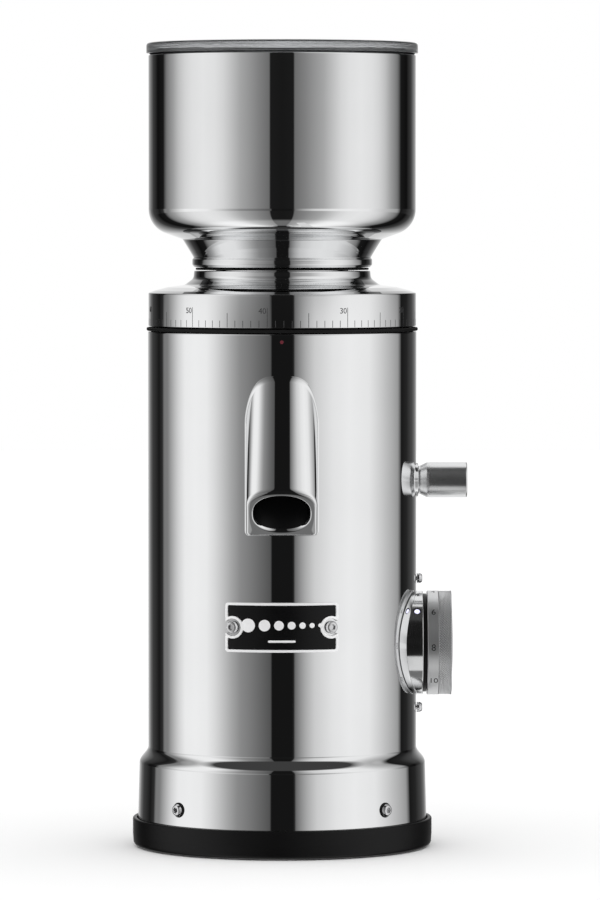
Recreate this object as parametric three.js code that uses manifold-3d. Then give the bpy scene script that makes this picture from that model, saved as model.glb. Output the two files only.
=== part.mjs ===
// Burr coffee grinder: a spun steel body on a plastic base, a ring that sets the grind,
// a lift-off steel hopper, a motor with one gear stage, and two flat burrs.
// Millimetres, +Z up, front towards -Y, origin under the centre of the base.
import * as THREE from "three";
import { mergeVertices } from "three/addons/utils/BufferGeometryUtils.js";
import Module from "manifold-3d";

const wasm = await Module();
wasm.setup();

// ---- driving dimensions ----
const seatGap = 0.3; // between faces that rest on each other
const runGap = 0.6; // between faces that turn or slide past each other
const roundSteps = 36; // sides of the large turned pieces
const smallSteps = 20; // sides of the small ones

// base
const baseRim = 2.1; // past the shell's lower edge
const baseHeight = 12.1;
const padInset = 5.3; // from the tray's side
const padThickness = 1.5;
const padProud = 0.4; // of the tray's lower edge, so that the pad alone touches the table
const trayFloor = 3;
const upstandHeight = 24;
const upstandWall = 3;

// body shell: tapered skirt, flare, straight tube
const shellWall = 1.2;
const skirtTaper = 0.7; // wider at the foot than at the flare
const flareWidth = 3.7; // past the tube
const skirtTop = 36;
const flareHeight = 6.4;
const bodyRadius = 55.8;
const bodyTop = 213.2;
const ledgeHeight = 8; // what the shell's lower edge stands on

// adjusting ring
const gasketHeight = 2.6;
const gasketProud = 0.6;
const ringInset = 0.2;
const ringBandHeight = 13.4;
const ringWall = 3;
const shoulderRise = 3;
const collarRadius = 36.6;
const collarHeight = 6.8;
const throatRadius = 27;
const sleeveWall = 3;
const keyWidth = 5;
const keyDepth = 2;

// hopper and lid
const hopperRadius = 55.5;
const hopperWall = 1.5;
const hopperHeight = 88.1; // from the neck's lower face to the rim
const bowlRise = 25; // height of the curved bottom above the neck
const neckRadius = 37.1;
const neckHeight = 4;
const spigotDepth = 13.5;
const spigotWall = 2;
const sealHeight = 0.8;
const lidRadius = 56.4;
const lidThickness = 3.5;
const lidPlugDepth = 6.6;
const lidPlugWall = 2.2;

// spout on the front: a flattened tube that leans forward on its way down
const spoutHalfWidth = 14.2;
const spoutTop = 196.3; // where its ridge meets the body
const spoutLip = 151; // upper edge of the mouth
const spoutFoot = 131.8; // lower edge of the mouth
const spoutReach = 21.7; // how far the upper edge stands out from the body
const spoutFootReach = 12.7;
const spoutArch = 6.7; // depth of its rounded front
const spoutWall = 1.7;
const spoutMouthHalfWidth = 11.6;
const spoutMouthInset = 2.4; // of the mouth's edge behind the ridge
const spoutCorner = 1.2;

// nameplate
const plateWidth = 46.4; // along the curve
const plateHeight = 20.2;
const plateThickness = 1;
const plateLevel = 94.7;
const plateNotch = 3.5;

// screws
const screwClearance = 0.4;
const plateScrew = { head: 2.6, proud: 1.7, shank: 1.2, length: 4 };
const skirtScrew = { head: 2.55, proud: 2, shank: 1.4, length: 6 };
const dialScrew = { head: 2.15, proud: 2.2, shank: 1.2, length: 5 };
const skirtScrewLevel = 18.8;
const skirtScrewAngles = [45, 135, 225, 315];
const plateScrewAngle = 20.6;
const dialScrewGap = 5.25; // from the dial's edge to the screws' axes

// controls on the right-hand side, on one upright line a little ahead of the axis
const controlLine = 0;
const dialLevel = 84.6;
const dialRadius = 21.65;
const dialHousingProud = 2.7; // of the tube
const dialSpacer = 1.1;
const dialLength = 10.7;
const dialDome = 0.8;
const dialShaftRadius = 3;
const dialBore = 6.5;
const lampRadius = 1.2;
const lampAngle = 41; // above the front, round the dial
const lampInset = 2.6; // from the housing's outer face
const leverLevel = 152.5;
const leverPivotInset = 5.3; // from the tube's outer face
const leverBore = 6.6;
const bezelRadius = 7.85;
const bezelProud = 0.9; // of the tube
const leverNeck = 5.75;
const leverGrip = 7.35;
const leverCone = 3.2;
const leverGripLength = 16.7;
const leverShaft = 4;

// inside
const innerClear = 1; // between the shell and what stands in it
const plateStock = 2.5;
const pillarRadius = 4;
const pillarCircle = 48;
const pillarAngles = [45, 135, 215, 325];
const motorRadius = 21;
const motorLength = 67;
const motorWall = 2;
const rotorGap = 1.5;
const motorShaft = 2.5;
const gearModule = 1.25;
const pinionTeeth = 12;
const gearTeeth = 36;
const gearWidth = 9;
const gearCaseHeight = 21;
const gearCaseWall = 2.5;
const spindleRadius = 5;
const spindleFit = 0.15; // between the spindle and its bearings
const bearingRadius = 11;
const bearingWidth = 5;
const chamberRadius = 41;
const chamberBore = 38;
const chamberDepth = 49; // from the flange's top to the floor's top
const chamberFloor = 4;
const flangeThickness = 7;
const burrRadius = 30;
const burrEye = 17.5;
const burrThickness = 7;
const burrSpacing = 0.65;
const burrTeeth = 12;
const carrierThickness = 6.5;
const chuteWidth = 20;
const chuteHeight = 14;
const chuteWall = 1.2;
const chuteDrop = 10; // degrees
const glandBore = 3.8;
const glandRadius = 8;
const glandLevel = 30;

// ---- levels and radii that follow ----
const skirtTopRadius = bodyRadius + flareWidth;
const skirtFootRadius = skirtTopRadius + skirtTaper;
const baseRadius = skirtFootRadius + baseRim;
const padRadius = baseRadius - padInset;
const dialHousingFace = bodyRadius + dialHousingProud;
const dialScrewReach = dialRadius + dialScrewGap;
const leverPivot = bodyRadius - leverPivotInset;
const bezelFace = bodyRadius + bezelProud;
const leverConeStart = bezelFace + seatGap;
const leverConeEnd = leverConeStart + leverCone;
const leverTip = leverConeEnd + leverGripLength;
const trayBottom = padThickness + seatGap;
const trayTop = trayBottom + trayFloor;
const shellFoot = ledgeHeight + seatGap;
const flareTop = skirtTop + flareHeight;
const shellInner = bodyRadius - shellWall;
const gasketBottom = bodyTop + seatGap;
const ringBottom = gasketBottom + gasketHeight + seatGap;
const ringTop = ringBottom + ringBandHeight;
const shoulderTop = ringTop + shoulderRise;
const collarTop = shoulderTop + collarHeight;
const sealBottom = collarTop + seatGap;
const neckBottom = sealBottom + sealHeight + seatGap;
const rimLevel = neckBottom + hopperHeight;
const lidSealBottom = rimLevel + seatGap;
const lidBottom = lidSealBottom + sealHeight + seatGap;
const deckBottom = upstandHeight + seatGap;
const deckTop = deckBottom + plateStock;
const motorBottom = deckTop + seatGap;
const gearPitch = (gearModule * gearTeeth) / 2;
const pinionPitch = (gearModule * pinionTeeth) / 2;
const gearCentre = gearPitch + pinionPitch;
const capBottom = motorBottom + motorLength + seatGap;
const caseBottom = capBottom + motorWall + seatGap;
const caseTop = caseBottom + gearCaseHeight;
const gearLevel = caseBottom + 8;
const chamberFloorTop = bodyTop - chamberDepth;
const chamberFloorBottom = chamberFloorTop - chamberFloor;
const carrierBottom = chamberFloorTop + 1.2;
const lowerBurrBottom = carrierBottom + carrierThickness + seatGap;
const lowerBurrTop = lowerBurrBottom + burrThickness;
const upperBurrBottom = lowerBurrTop + burrSpacing;
const upperCarrierBottom = upperBurrBottom + burrThickness + seatGap;
const upperCarrierTop = upperCarrierBottom + 17;
const sleeveRadius = throatRadius + sleeveWall;
const sleeveBottom = upperCarrierBottom + 11;
const pillarTop = bodyTop - flangeThickness - seatGap;

// ---- materials ----
const finish = (color, roughness, metalness) => new THREE.MeshStandardMaterial({ color, roughness, metalness });
const polishedSteel = finish(0xd8dadc, 0.08, 1);
const brushedSteel = finish(0xb4b6b8, 0.4, 1);
const aluminium = finish(0xcfd1d3, 0.35, 1);
const brass = finish(0xb08d4a, 0.35, 1);
const blackPlastic = finish(0x151515, 0.5, 0);
const blackRubber = finish(0x0c0c0c, 0.8, 0);
const blackEnamel = finish(0x0a0a0b, 0.25, 0.2);
const redEnamel = finish(0xa03038, 0.4, 0);
const smokedGlass = finish(0x9a9c9e, 0.1, 0);
const lampLens = finish(0xdfe4ff, 0.2, 0);
const boardGreen = finish(0x14532f, 0.5, 0);

// ---- solids ----
// A closed three.js geometry as a solid, turned right side out.
function solid(geometry) {
  const bare = geometry.index ? geometry.toNonIndexed() : geometry.clone();
  bare.deleteAttribute("normal");
  bare.deleteAttribute("uv");
  const merged = mergeVertices(bare, 1e-4);
  const triVerts = new Uint32Array(merged.index.array);
  const vertProperties = merged.attributes.position.array;
  const made = new wasm.Manifold(new wasm.Mesh({ numProp: 3, vertProperties, triVerts }));
  if (made.volume() >= 0) return made;
  for (let i = 0; i < triVerts.length; i += 3) {
    [triVerts[i + 1], triVerts[i + 2]] = [triVerts[i + 2], triVerts[i + 1]];
  }
  return new wasm.Manifold(new wasm.Mesh({ numProp: 3, vertProperties, triVerts }));
}

function geometryOf(made) {
  const mesh = made.getMesh();
  const geometry = new THREE.BufferGeometry();
  geometry.setAttribute("position", new THREE.BufferAttribute(new Float32Array(mesh.vertProperties), 3));
  geometry.setIndex(new THREE.BufferAttribute(new Uint32Array(mesh.triVerts), 1));
  geometry.computeVertexNormals();
  return geometry;
}

// A piece turned about Z from [radius, height] points. A profile off the axis closes on itself.
function turned(profile, steps = roundSteps) {
  const points = profile.map(([radius, height]) => new THREE.Vector2(radius, height));
  const onAxis = points[0].x === 0 && points.at(-1).x === 0;
  if (!onAxis) points.push(points[0].clone());
  return solid(new THREE.LatheGeometry(points, steps).rotateX(Math.PI / 2));
}

// A round bar, or a cone, along Z from one height to another.
function bar(radius, low, high, steps = smallSteps, topRadius = radius) {
  const geometry = new THREE.CylinderGeometry(topRadius, radius, high - low, steps);
  return solid(geometry.rotateX(Math.PI / 2).translate(0, 0, (low + high) / 2));
}

function tube(outer, inner, low, high, steps = roundSteps) {
  return turned([[inner, low], [outer, low], [outer, high], [inner, high]], steps);
}

function block(x, y, z) {
  const geometry = new THREE.BoxGeometry(x[1] - x[0], y[1] - y[0], z[1] - z[0]);
  return solid(geometry.translate((x[0] + x[1]) / 2, (y[0] + y[1]) / 2, (z[0] + z[1]) / 2));
}

// A piece made about Z, laid along +X at the control line and a level.
function sideways(made, level) {
  const geometry = geometryOf(made).rotateY(Math.PI / 2).translate(0, controlLine, level);
  return solid(geometry);
}

// A piece made about Z, pointed outwards at an angle counted from +X, at a level.
function radial(made, degrees, level) {
  const geometry = geometryOf(made).rotateY(Math.PI / 2);
  return solid(geometry.rotateZ(THREE.MathUtils.degToRad(degrees)).translate(0, 0, level));
}

const onCircle = (radius, degrees) => {
  const angle = THREE.MathUtils.degToRad(degrees);
  return [radius * Math.cos(angle), radius * Math.sin(angle)];
};

const allOf = (solids) => solids.reduce((sum, next) => sum.add(next));
const cut = (made, tools) => tools.reduce((left, tool) => left.subtract(tool), made);
const reach = (radius, offset) => Math.sqrt(radius * radius - offset * offset);
const skirtRadiusAt = (level) => {
  const share = (level - shellFoot) / (skirtTop - shellFoot);
  return skirtFootRadius + (skirtTopRadius - skirtFootRadius) * share;
};

const grinder = new THREE.Group();
const place = (name, made, material, parent = grinder) => {
  const mesh = new THREE.Mesh(geometryOf(made), material);
  mesh.name = name;
  parent.add(mesh);
  return mesh;
};

// ---- base ----
function makeBase() {
  place("base_pad", turned([[0, 0], [padRadius, 0], [padRadius, padThickness], [0, padThickness]]), blackRubber);
  const rimInner = skirtFootRadius + seatGap;
  const upstandOuter = skirtRadiusAt(upstandHeight) - shellWall - seatGap;
  const tray = turned([
    [0, trayBottom], [padRadius + runGap, trayBottom], [padRadius + runGap, padProud],
    [baseRadius - 0.8, padProud], [baseRadius, padProud + 1], [baseRadius, baseHeight - 0.8],
    [baseRadius - 0.6, baseHeight],
    [rimInner, baseHeight], [rimInner, ledgeHeight], [upstandOuter, ledgeHeight],
    [upstandOuter, upstandHeight], [upstandOuter - upstandWall, upstandHeight],
    [upstandOuter - upstandWall, trayTop], [0, trayTop],
  ]);
  const holes = skirtScrewAngles.map((angle) => {
    return radial(bar(skirtScrew.shank + screwClearance, upstandOuter - upstandWall - 2, skirtFootRadius + 5, 16),
      angle, skirtScrewLevel);
  });
  place("base_tray", cut(tray, holes), blackPlastic);
}

// ---- body shell ----
function flareProfile(offset) {
  const rise = flareHeight;
  const drop = skirtTopRadius - bodyRadius;
  const shares = [0, 0.2, 0.4, 0.6, 0.8, 1];
  return shares.map((share) => {
    const ease = 0.5 + 0.5 * Math.cos(Math.PI * share);
    return [bodyRadius + drop * ease - offset, skirtTop + rise * share];
  });
}

function makeShell() {
  const outside = [[skirtFootRadius, shellFoot], ...flareProfile(0), [bodyRadius, bodyTop]];
  const inside = [[skirtFootRadius - shellWall, shellFoot], ...flareProfile(shellWall), [shellInner, bodyTop]];
  const shell = turned([...outside, ...inside.reverse()]);
  const far = skirtFootRadius + 10;
  const near = shellInner - 12;
  const holes = [
    sideways(bar(dialBore, near, far), dialLevel),
    sideways(bar(leverBore, near, far), leverLevel),
    radial(bar(glandRadius - 2 + seatGap, near, far, 24), 90, glandLevel),
    radial(bar(1.05, near, far, 12), 270, bodyTop - 2.2),
    chuteSolid(chuteWidth / 2 + chuteWall + seatGap, chuteHeight / 2 + chuteWall + seatGap, 20),
  ];
  for (const side of [-1, 1]) {
    holes.push(sideways(bar(dialScrew.shank + screwClearance, near, far, 12), dialLevel + side * dialScrewReach));
    holes.push(radial(bar(plateScrew.shank + screwClearance, near, far, 12), 270 + side * plateScrewAngle, plateLevel));
  }
  for (const angle of skirtScrewAngles) {
    holes.push(radial(bar(skirtScrew.shank + screwClearance, near, far, 12), angle, skirtScrewLevel));
  }
  place("outer_body", cut(shell, holes), polishedSteel);
  place("index_mark", radial(bar(0.75, shellInner, bodyRadius + 0.15, 12), 270, bodyTop - 2.2), redEnamel);
}

// ---- screws: a round head with a six-sided socket, and a shank ----
function screwSolid(screw, seat) {
  const head = bar(screw.head, seat, seat + screw.proud, 16, screw.head * 0.88);
  const shank = bar(screw.shank, seat - screw.length, seat + 0.2, 8);
  return head.add(shank).subtract(bar(screw.head * 0.42, seat + screw.proud * 0.35, seat + screw.proud + 1, 6));
}

function makeScrews() {
  const plateSeat = bodyRadius + seatGap;
  place("nameplate_screw_left", radial(screwSolid(plateScrew, plateSeat), 270 - plateScrewAngle, plateLevel),
    brushedSteel);
  place("nameplate_screw_right", radial(screwSolid(plateScrew, plateSeat), 270 + plateScrewAngle, plateLevel),
    brushedSteel);
  skirtScrewAngles.forEach((angle, index) => {
    const seat = skirtRadiusAt(skirtScrewLevel) + seatGap;
    place(`skirt_screw_${index + 1}`, radial(screwSolid(skirtScrew, seat), angle, skirtScrewLevel), brushedSteel);
  });
  const dialSeat = reach(bodyRadius, controlLine) + seatGap;
  place("dial_screw_upper", sideways(screwSolid(dialScrew, dialSeat), dialLevel + dialScrewReach), brushedSteel);
  place("dial_screw_lower", sideways(screwSolid(dialScrew, dialSeat), dialLevel - dialScrewReach), brushedSteel);
}

// ---- nameplate: curved with the body, notched round its two screws ----
function makeNameplate() {
  const inner = bodyRadius + seatGap;
  const ring = tube(inner + plateThickness, inner, plateLevel - plateHeight / 2, plateLevel + plateHeight / 2, 96);
  const halfWidth = inner * Math.sin(plateWidth / 2 / inner);
  const slab = block([-halfWidth, halfWidth], [-inner - 10, -inner / 2], [0, bodyTop]);
  const notches = [-1, 1].map((side) => radial(bar(plateNotch, inner - 5, inner + 8, 24),
    270 + side * plateScrewAngle, plateLevel));
  // past each screw the plate is cut right through to its end, so the notch is open
  const ends = [-1, 1].map((side) => {
    const from = bodyRadius * Math.sin(THREE.MathUtils.degToRad(plateScrewAngle));
    const x = side < 0 ? [-halfWidth - 5, -from] : [from, halfWidth + 5];
    return block(x, [-inner - 8, -inner / 2], [plateLevel - plateNotch, plateLevel + plateNotch]);
  });
  place("nameplate", cut(ring.intersect(slab), [...notches, ...ends]), blackEnamel);
}

// ---- spout ----
const spoutSlope = spoutReach / (spoutTop - spoutLip);
const spoutLean = Math.atan2(spoutReach - spoutFootReach, spoutLip - spoutFoot);
const spoutDepth = spoutReach - spoutFootReach + spoutSlope * (spoutLip - spoutFoot);

// The tube's section, arched in front and flat behind, run up the slope. The insets are from the full section.
function spoutTube(halfWidth, frontInset, backInset, corner) {
  const outline = new THREE.Shape();
  const back = spoutDepth - backInset;
  const arch = spoutArch - frontInset * 0.5;
  const archBase = frontInset + arch;
  outline.moveTo(-halfWidth, archBase);
  outline.absellipse(0, archBase, halfWidth, arch, Math.PI, 2 * Math.PI, false, 0);
  outline.lineTo(halfWidth, back - corner);
  outline.absarc(halfWidth - corner, back - corner, corner, 0, Math.PI / 2, false);
  outline.lineTo(-halfWidth + corner, back);
  outline.absarc(-halfWidth + corner, back - corner, corner, Math.PI / 2, Math.PI, false);
  const low = spoutFoot - 10;
  const depth = spoutTop + 15 - low;
  const geometry = new THREE.ExtrudeGeometry(outline, { depth, bevelEnabled: false, curveSegments: 12 });
  const shear = new THREE.Matrix4().set(
    1, 0, 0, 0,
    0, 1, spoutSlope, -bodyRadius - spoutSlope * (spoutTop - low),
    0, 0, 1, low,
    0, 0, 0, 1,
  );
  return solid(geometry.applyMatrix4(shear));
}

// Everything in front of the slanting mouth, or of a plane behind it.
function beyondMouth(behind) {
  const geometry = new THREE.BoxGeometry(80, 60, 160).translate(0, behind - 30, 0).rotateX(spoutLean);
  return solid(geometry.translate(0, -bodyRadius - spoutReach, spoutLip));
}

function makeSpout() {
  const wedgeRun = 25; // how far the cheeks are carried straight back into the body
  const outside = spoutTube(spoutHalfWidth, 0, 0, spoutCorner);
  const inside = spoutTube(spoutHalfWidth - spoutWall, spoutWall, spoutWall, spoutCorner);
  const mouth = spoutTube(spoutMouthHalfWidth, spoutMouthInset, spoutWall, spoutArch);
  const hollow = inside.subtract(beyondMouth(spoutWall)).add(mouth);
  const bodyBar = bar(bodyRadius + seatGap, 0, spoutTop + 30, 120);
  const behind = block([-40, 40], [-bodyRadius + 12, 60], [0, spoutTop + 30]);
  const front = outside.subtract(beyondMouth(0));
  const wedge = front.add(front.translate(0, wedgeRun, 0)).hull();
  place("spout", cut(wedge, [hollow, bodyBar, behind]), polishedSteel);
}

// A sloping box from the chamber's outlet to the spout, used for the chute and for its hole.
function chuteSolid(halfWidth, halfHeight, past) {
  const run = bodyRadius - chamberRadius + past;
  const inlet = 5; // how far it starts inside the chamber's wall
  const geometry = new THREE.BoxGeometry(halfWidth * 2, run + inlet, halfHeight * 2);
  geometry.translate(0, (inlet - run) / 2, 0).rotateX(THREE.MathUtils.degToRad(chuteDrop));
  return solid(geometry.translate(0, -chamberRadius, chamberFloorTop + chuteHeight / 2 + 1));
}

// ---- controls ----
function makeDial() {
  const bodyBar = bar(bodyRadius + seatGap, 0, bodyTop + 20, 120);
  const lampBar = (radius, low, high) => {
    const geometry = new THREE.CylinderGeometry(radius, radius, high - low, 16).translate(0, (low + high) / 2, 0);
    geometry.rotateX(THREE.MathUtils.degToRad(180 - lampAngle));
    return solid(geometry.translate(dialHousingFace - lampInset, controlLine, dialLevel));
  };
  const housing = sideways(tube(dialRadius, dialBore, bodyRadius - 12, dialHousingFace), dialLevel);
  const lampSeat = dialRadius - 6;
  const lampHole = lampBar(lampRadius + seatGap, lampSeat - seatGap, dialRadius + 5);
  place("dial_housing", cut(housing, [bodyBar, lampHole]), aluminium);
  place("lamp_lens", lampBar(lampRadius, lampSeat, dialRadius + 0.1), lampLens);
  const spacerLow = dialHousingFace + seatGap;
  const spacer = tube(dialRadius - 1.2, dialBore, spacerLow, spacerLow + dialSpacer);
  place("dial_spacer", sideways(spacer, dialLevel), blackPlastic);
  const knobLow = spacerLow + dialSpacer + seatGap;
  const knobHigh = knobLow + dialLength;
  const knob = turned([
    [0, knobLow + 4], [dialShaftRadius + seatGap, knobLow + 4], [dialShaftRadius + seatGap, knobLow],
    [dialRadius - 0.4, knobLow], [dialRadius, knobLow + 0.4], [dialRadius, knobHigh - dialDome - 0.5],
    [dialRadius - 0.5, knobHigh - dialDome], [dialRadius * 0.6, knobHigh - dialDome * 0.3], [0, knobHigh],
  ]);
  place("dial_knob", sideways(knob, dialLevel), aluminium);
  const sensorFace = shellInner - 10;
  place("dial_shaft", sideways(bar(dialShaftRadius, sensorFace - 8, knobLow + 4 - seatGap, 24), dialLevel),
    brushedSteel);
  const sensor = block([sensorFace - 10, sensorFace], [controlLine - 9, controlLine + 9],
    [dialLevel - 9, dialLevel + 9]);
  const shaftRoom = sideways(bar(dialShaftRadius + seatGap, sensorFace - 9, 80, 24), dialLevel);
  place("dial_sensor", sensor.subtract(shaftRoom), blackPlastic);
  const bracketX = [sensorFace + seatGap, sensorFace + seatGap + 1.5];
  const bracket = block(bracketX, [controlLine - 11, controlLine + 11], [deckTop + seatGap, dialLevel + 11]);
  place("dial_bracket", bracket.subtract(sideways(bar(dialBore, 0, 80), dialLevel)), brushedSteel);
}

function makeLever() {
  const bodyBar = bar(bodyRadius + seatGap, 0, bodyTop + 20, 120);
  const bezel = turned([
    [leverBore, bodyRadius - 8], [bezelRadius, bodyRadius - 8], [bezelRadius, bezelFace - 1],
    [bezelRadius - 0.5, bezelFace - 0.3], [leverBore + 0.3, bezelFace], [leverBore, bezelFace - 0.2],
  ], 32);
  place("lever_bezel", sideways(bezel, leverLevel).subtract(bodyBar), polishedSteel);
  const innerEnd = chamberRadius + 1.5;
  const lever = turned([
    [0, innerEnd], [leverShaft, innerEnd], [leverShaft, leverConeStart - 0.5], [leverNeck, leverConeStart],
    [leverGrip, leverConeEnd], [leverGrip, leverTip - 0.5], [leverGrip - 0.5, leverTip], [0, leverTip],
  ], smallSteps);
  const pinBar = (radius, half) => {
    const geometry = new THREE.CylinderGeometry(radius, radius, half * 2, 20);
    return solid(geometry.translate(leverPivot, controlLine, leverLevel));
  };
  place("lever", sideways(lever, leverLevel).subtract(pinBar(1.5 + seatGap, 12)), polishedSteel);
  place("lever_pin", pinBar(1.5, 8), brushedSteel);
  const cheekX = [chamberRadius + 0.5, leverPivot + 2.2];
  const cheekZ = [leverLevel - 3.5, leverLevel + leverShaft + 9];
  const left = block(cheekX, [controlLine - 7, controlLine - 5.2], cheekZ);
  const right = block(cheekX, [controlLine + 5.2, controlLine + 7], cheekZ);
  const web = block(cheekX, [controlLine - 7, controlLine + 7], [cheekZ[1] - 1.5, cheekZ[1]]);
  const bracket = allOf([left, right, web]).subtract(pinBar(1.5 + seatGap, 20));
  place("lever_bracket", bracket, brushedSteel);
  const switchLow = leverLevel + leverShaft + 1.2;
  const switchBody = block([cheekX[0] + 0.5, leverPivot - 1], [controlLine - 4.8, controlLine + 4.8],
    [switchLow, cheekZ[1] - 1.5 - seatGap]);
  place("lever_switch", switchBody, blackPlastic);
}

function makeGland() {
  const face = skirtRadiusAt(glandLevel);
  const shankLow = face - 4;
  const flange = turned([
    [glandBore, face - 2], [glandRadius, face - 2], [glandRadius, face + 1.4],
    [glandRadius - 0.6, face + 2], [glandBore, face + 2],
  ], smallSteps);
  const shank = radial(tube(glandRadius - 2, glandBore, shankLow, face + 1, smallSteps), 90, glandLevel);
  const skirtBar = bar(skirtFootRadius, 0, flareTop, roundSteps);
  place("cable_gland", radial(flange, 90, glandLevel).subtract(skirtBar).add(shank), blackRubber);
}

// ---- inside: deck, pillars, motor, gears, boards ----
function makeFrame() {
  const deckRadius = skirtRadiusAt(upstandHeight) - shellWall - innerClear;
  const deck = turned([[0, deckBottom], [deckRadius, deckBottom], [deckRadius, deckTop], [0, deckTop]]);
  const cableNotch = block([-glandRadius - 1, glandRadius + 1], [bodyRadius - 4, skirtFootRadius], [0, skirtTop]);
  place("motor_deck", deck.subtract(cableNotch), brushedSteel);
  pillarAngles.forEach((angle, index) => {
    const pillar = place(`pillar_${index + 1}`, bar(pillarRadius, deckTop + seatGap, pillarTop, 12), brushedSteel);
    const [x, y] = onCircle(pillarCircle, angle);
    pillar.position.set(x, y, 0);
  });
  const board = block([-shellInner + 9, -shellInner + 10.6], [-20, 22], [deckTop + seatGap, deckTop + 60]);
  place("control_board", board, boardGreen);
  place("power_supply", block([-16, 16], [-46, -24], [deckTop + seatGap, deckTop + 34]), blackPlastic);
}

function makeMotor() {
  const group = new THREE.Group();
  group.position.set(0, gearCentre, 0);
  grinder.add(group);
  const top = motorBottom + motorLength;
  const inner = motorRadius - motorWall;
  const can = turned([
    [motorShaft + runGap, motorBottom], [motorRadius, motorBottom], [motorRadius, top], [inner, top],
    [inner, motorBottom + motorWall], [motorShaft + runGap, motorBottom + motorWall],
  ], 32);
  place("motor_can", can, brushedSteel, group);
  place("motor_cap", tube(motorRadius, motorShaft + runGap, capBottom, capBottom + motorWall, 32), blackPlastic, group);
  const rotorRadius = inner - rotorGap;
  const pinionLow = gearLevel - 0.5;
  const rotor = turned([
    [0, motorBottom + 0.6], [motorShaft, motorBottom + 0.6], [motorShaft, motorBottom + motorWall + 4],
    [rotorRadius, motorBottom + motorWall + 4], [rotorRadius, top - 5], [motorShaft, top - 5],
    [motorShaft, pinionLow + gearWidth + 3], [0, pinionLow + gearWidth + 3],
  ], smallSteps);
  place("motor_rotor", rotor, brushedSteel, group);
  const pinion = gearSolid(pinionTeeth, gearWidth + 1, 0).subtract(bar(motorShaft + seatGap, -1, gearWidth + 2, 16));
  place("motor_pinion", pinion, brushedSteel, group).position.set(0, 0, pinionLow);
}

// A spur gear with straight-sided teeth, standing on z = 0, with a tooth or a gap towards the other gear.
function gearSolid(teeth, width, turn) {
  const pitch = (gearModule * teeth) / 2;
  const tip = pitch + gearModule * 0.75;
  const root = pitch - gearModule * 1.05;
  const step = (2 * Math.PI) / teeth;
  const outline = new THREE.Shape();
  for (let tooth = 0; tooth < teeth; tooth += 1) {
    const middle = tooth * step + turn;
    const corners = [[root, -0.3], [tip, -0.13], [tip, 0.13], [root, 0.3]];
    for (const [radius, share] of corners) {
      const angle = middle + share * step;
      const x = radius * Math.cos(angle);
      const y = radius * Math.sin(angle);
      if (tooth === 0 && share === -0.3) outline.moveTo(x, y);
      else outline.lineTo(x, y);
    }
  }
  outline.closePath();
  return solid(new THREE.ExtrudeGeometry(outline, { depth: width, bevelEnabled: false }));
}

function makeGearStage() {
  const floorTop = caseBottom + 4;
  const wallOuter = gearCentre + pinionPitch + 5;
  const wallInner = wallOuter - gearCaseWall;
  const caseRadius = shellInner - innerClear;
  const pillarHoles = pillarAngles.map((angle) => {
    const [x, y] = onCircle(pillarCircle, angle);
    return bar(pillarRadius + seatGap, 0, bodyTop, 12).translate(x, y, 0);
  });
  const shell = turned([
    [bearingRadius + seatGap, caseBottom], [caseRadius, caseBottom], [caseRadius, floorTop],
    [wallOuter, floorTop], [wallOuter, caseTop], [wallInner, caseTop], [wallInner, floorTop],
    [bearingRadius + seatGap, floorTop],
  ]);
  const shaftHole = bar(motorShaft + runGap + 1, 0, bodyTop, 24).translate(0, gearCentre, 0);
  place("gear_case", cut(shell, [...pillarHoles, shaftHole]), aluminium);
  const coverLow = caseTop + seatGap;
  place("gear_cover", tube(wallOuter, spindleRadius + runGap, coverLow, coverLow + 2.5), aluminium);
  place("lower_bearing", tube(bearingRadius, spindleRadius + spindleFit, caseBottom, floorTop, smallSteps), brushedSteel);
  const half = Math.PI / gearTeeth; // the pinion has a tooth towards this gear, so the gear has a gap there
  const quarterTurn = Math.PI / 2;
  const gear = gearSolid(gearTeeth, gearWidth, quarterTurn + half);
  const hub = bar(9, -2, gearWidth);
  const bore = bar(spindleRadius + seatGap, -5, gearWidth + 5);
  place("main_gear", gear.add(hub).subtract(bore), brass).position.set(0, 0, gearLevel);
  const spindleTop = lowerBurrBottom + 6;
  place("spindle", bar(spindleRadius, caseBottom + 0.5, spindleTop, smallSteps), brushedSteel);
  const carrier = turned([
    [spindleRadius + seatGap, carrierBottom], [burrRadius + 3, carrierBottom],
    [burrRadius + 3, carrierBottom + carrierThickness],
    [spindleRadius + seatGap, carrierBottom + carrierThickness],
  ], 32);
  const vanes = [0, 120, 240].map((angle) => {
    const low = burrRadius + 2;
    const vane = block([low, burrRadius + 5], [-2, 2], [carrierBottom, carrierBottom + carrierThickness]);
    return vane.rotate([0, 0, angle]);
  });
  place("burr_carrier", allOf([carrier, ...vanes]), brushedSteel);
  place("lower_burr", burrSolid(lowerBurrBottom, 1), brushedSteel);
  const nut = bar(9, lowerBurrBottom, lowerBurrBottom + 5, 6);
  place("burr_nut", nut.subtract(bar(spindleRadius + seatGap, 0, bodyTop, 32)), brushedSteel);
}

// A flat burr with slanting feed grooves cut in one face: side 1 cuts the top, -1 the bottom.
function burrSolid(low, side) {
  const ring = tube(burrRadius, burrEye, low, low + burrThickness, 36);
  const face = side > 0 ? low + burrThickness : low;
  const groove = new THREE.BoxGeometry(13, 2.6, 3).rotateX(Math.PI / 4);
  const grooves = [];
  for (let index = 0; index < burrTeeth; index += 1) {
    const angle = (index * 2 * Math.PI) / burrTeeth;
    const geometry = groove.clone().rotateZ(side * 0.5).translate(burrEye + 3, 0, face).rotateZ(angle);
    grooves.push(solid(geometry));
  }
  return cut(ring, grooves);
}

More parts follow.
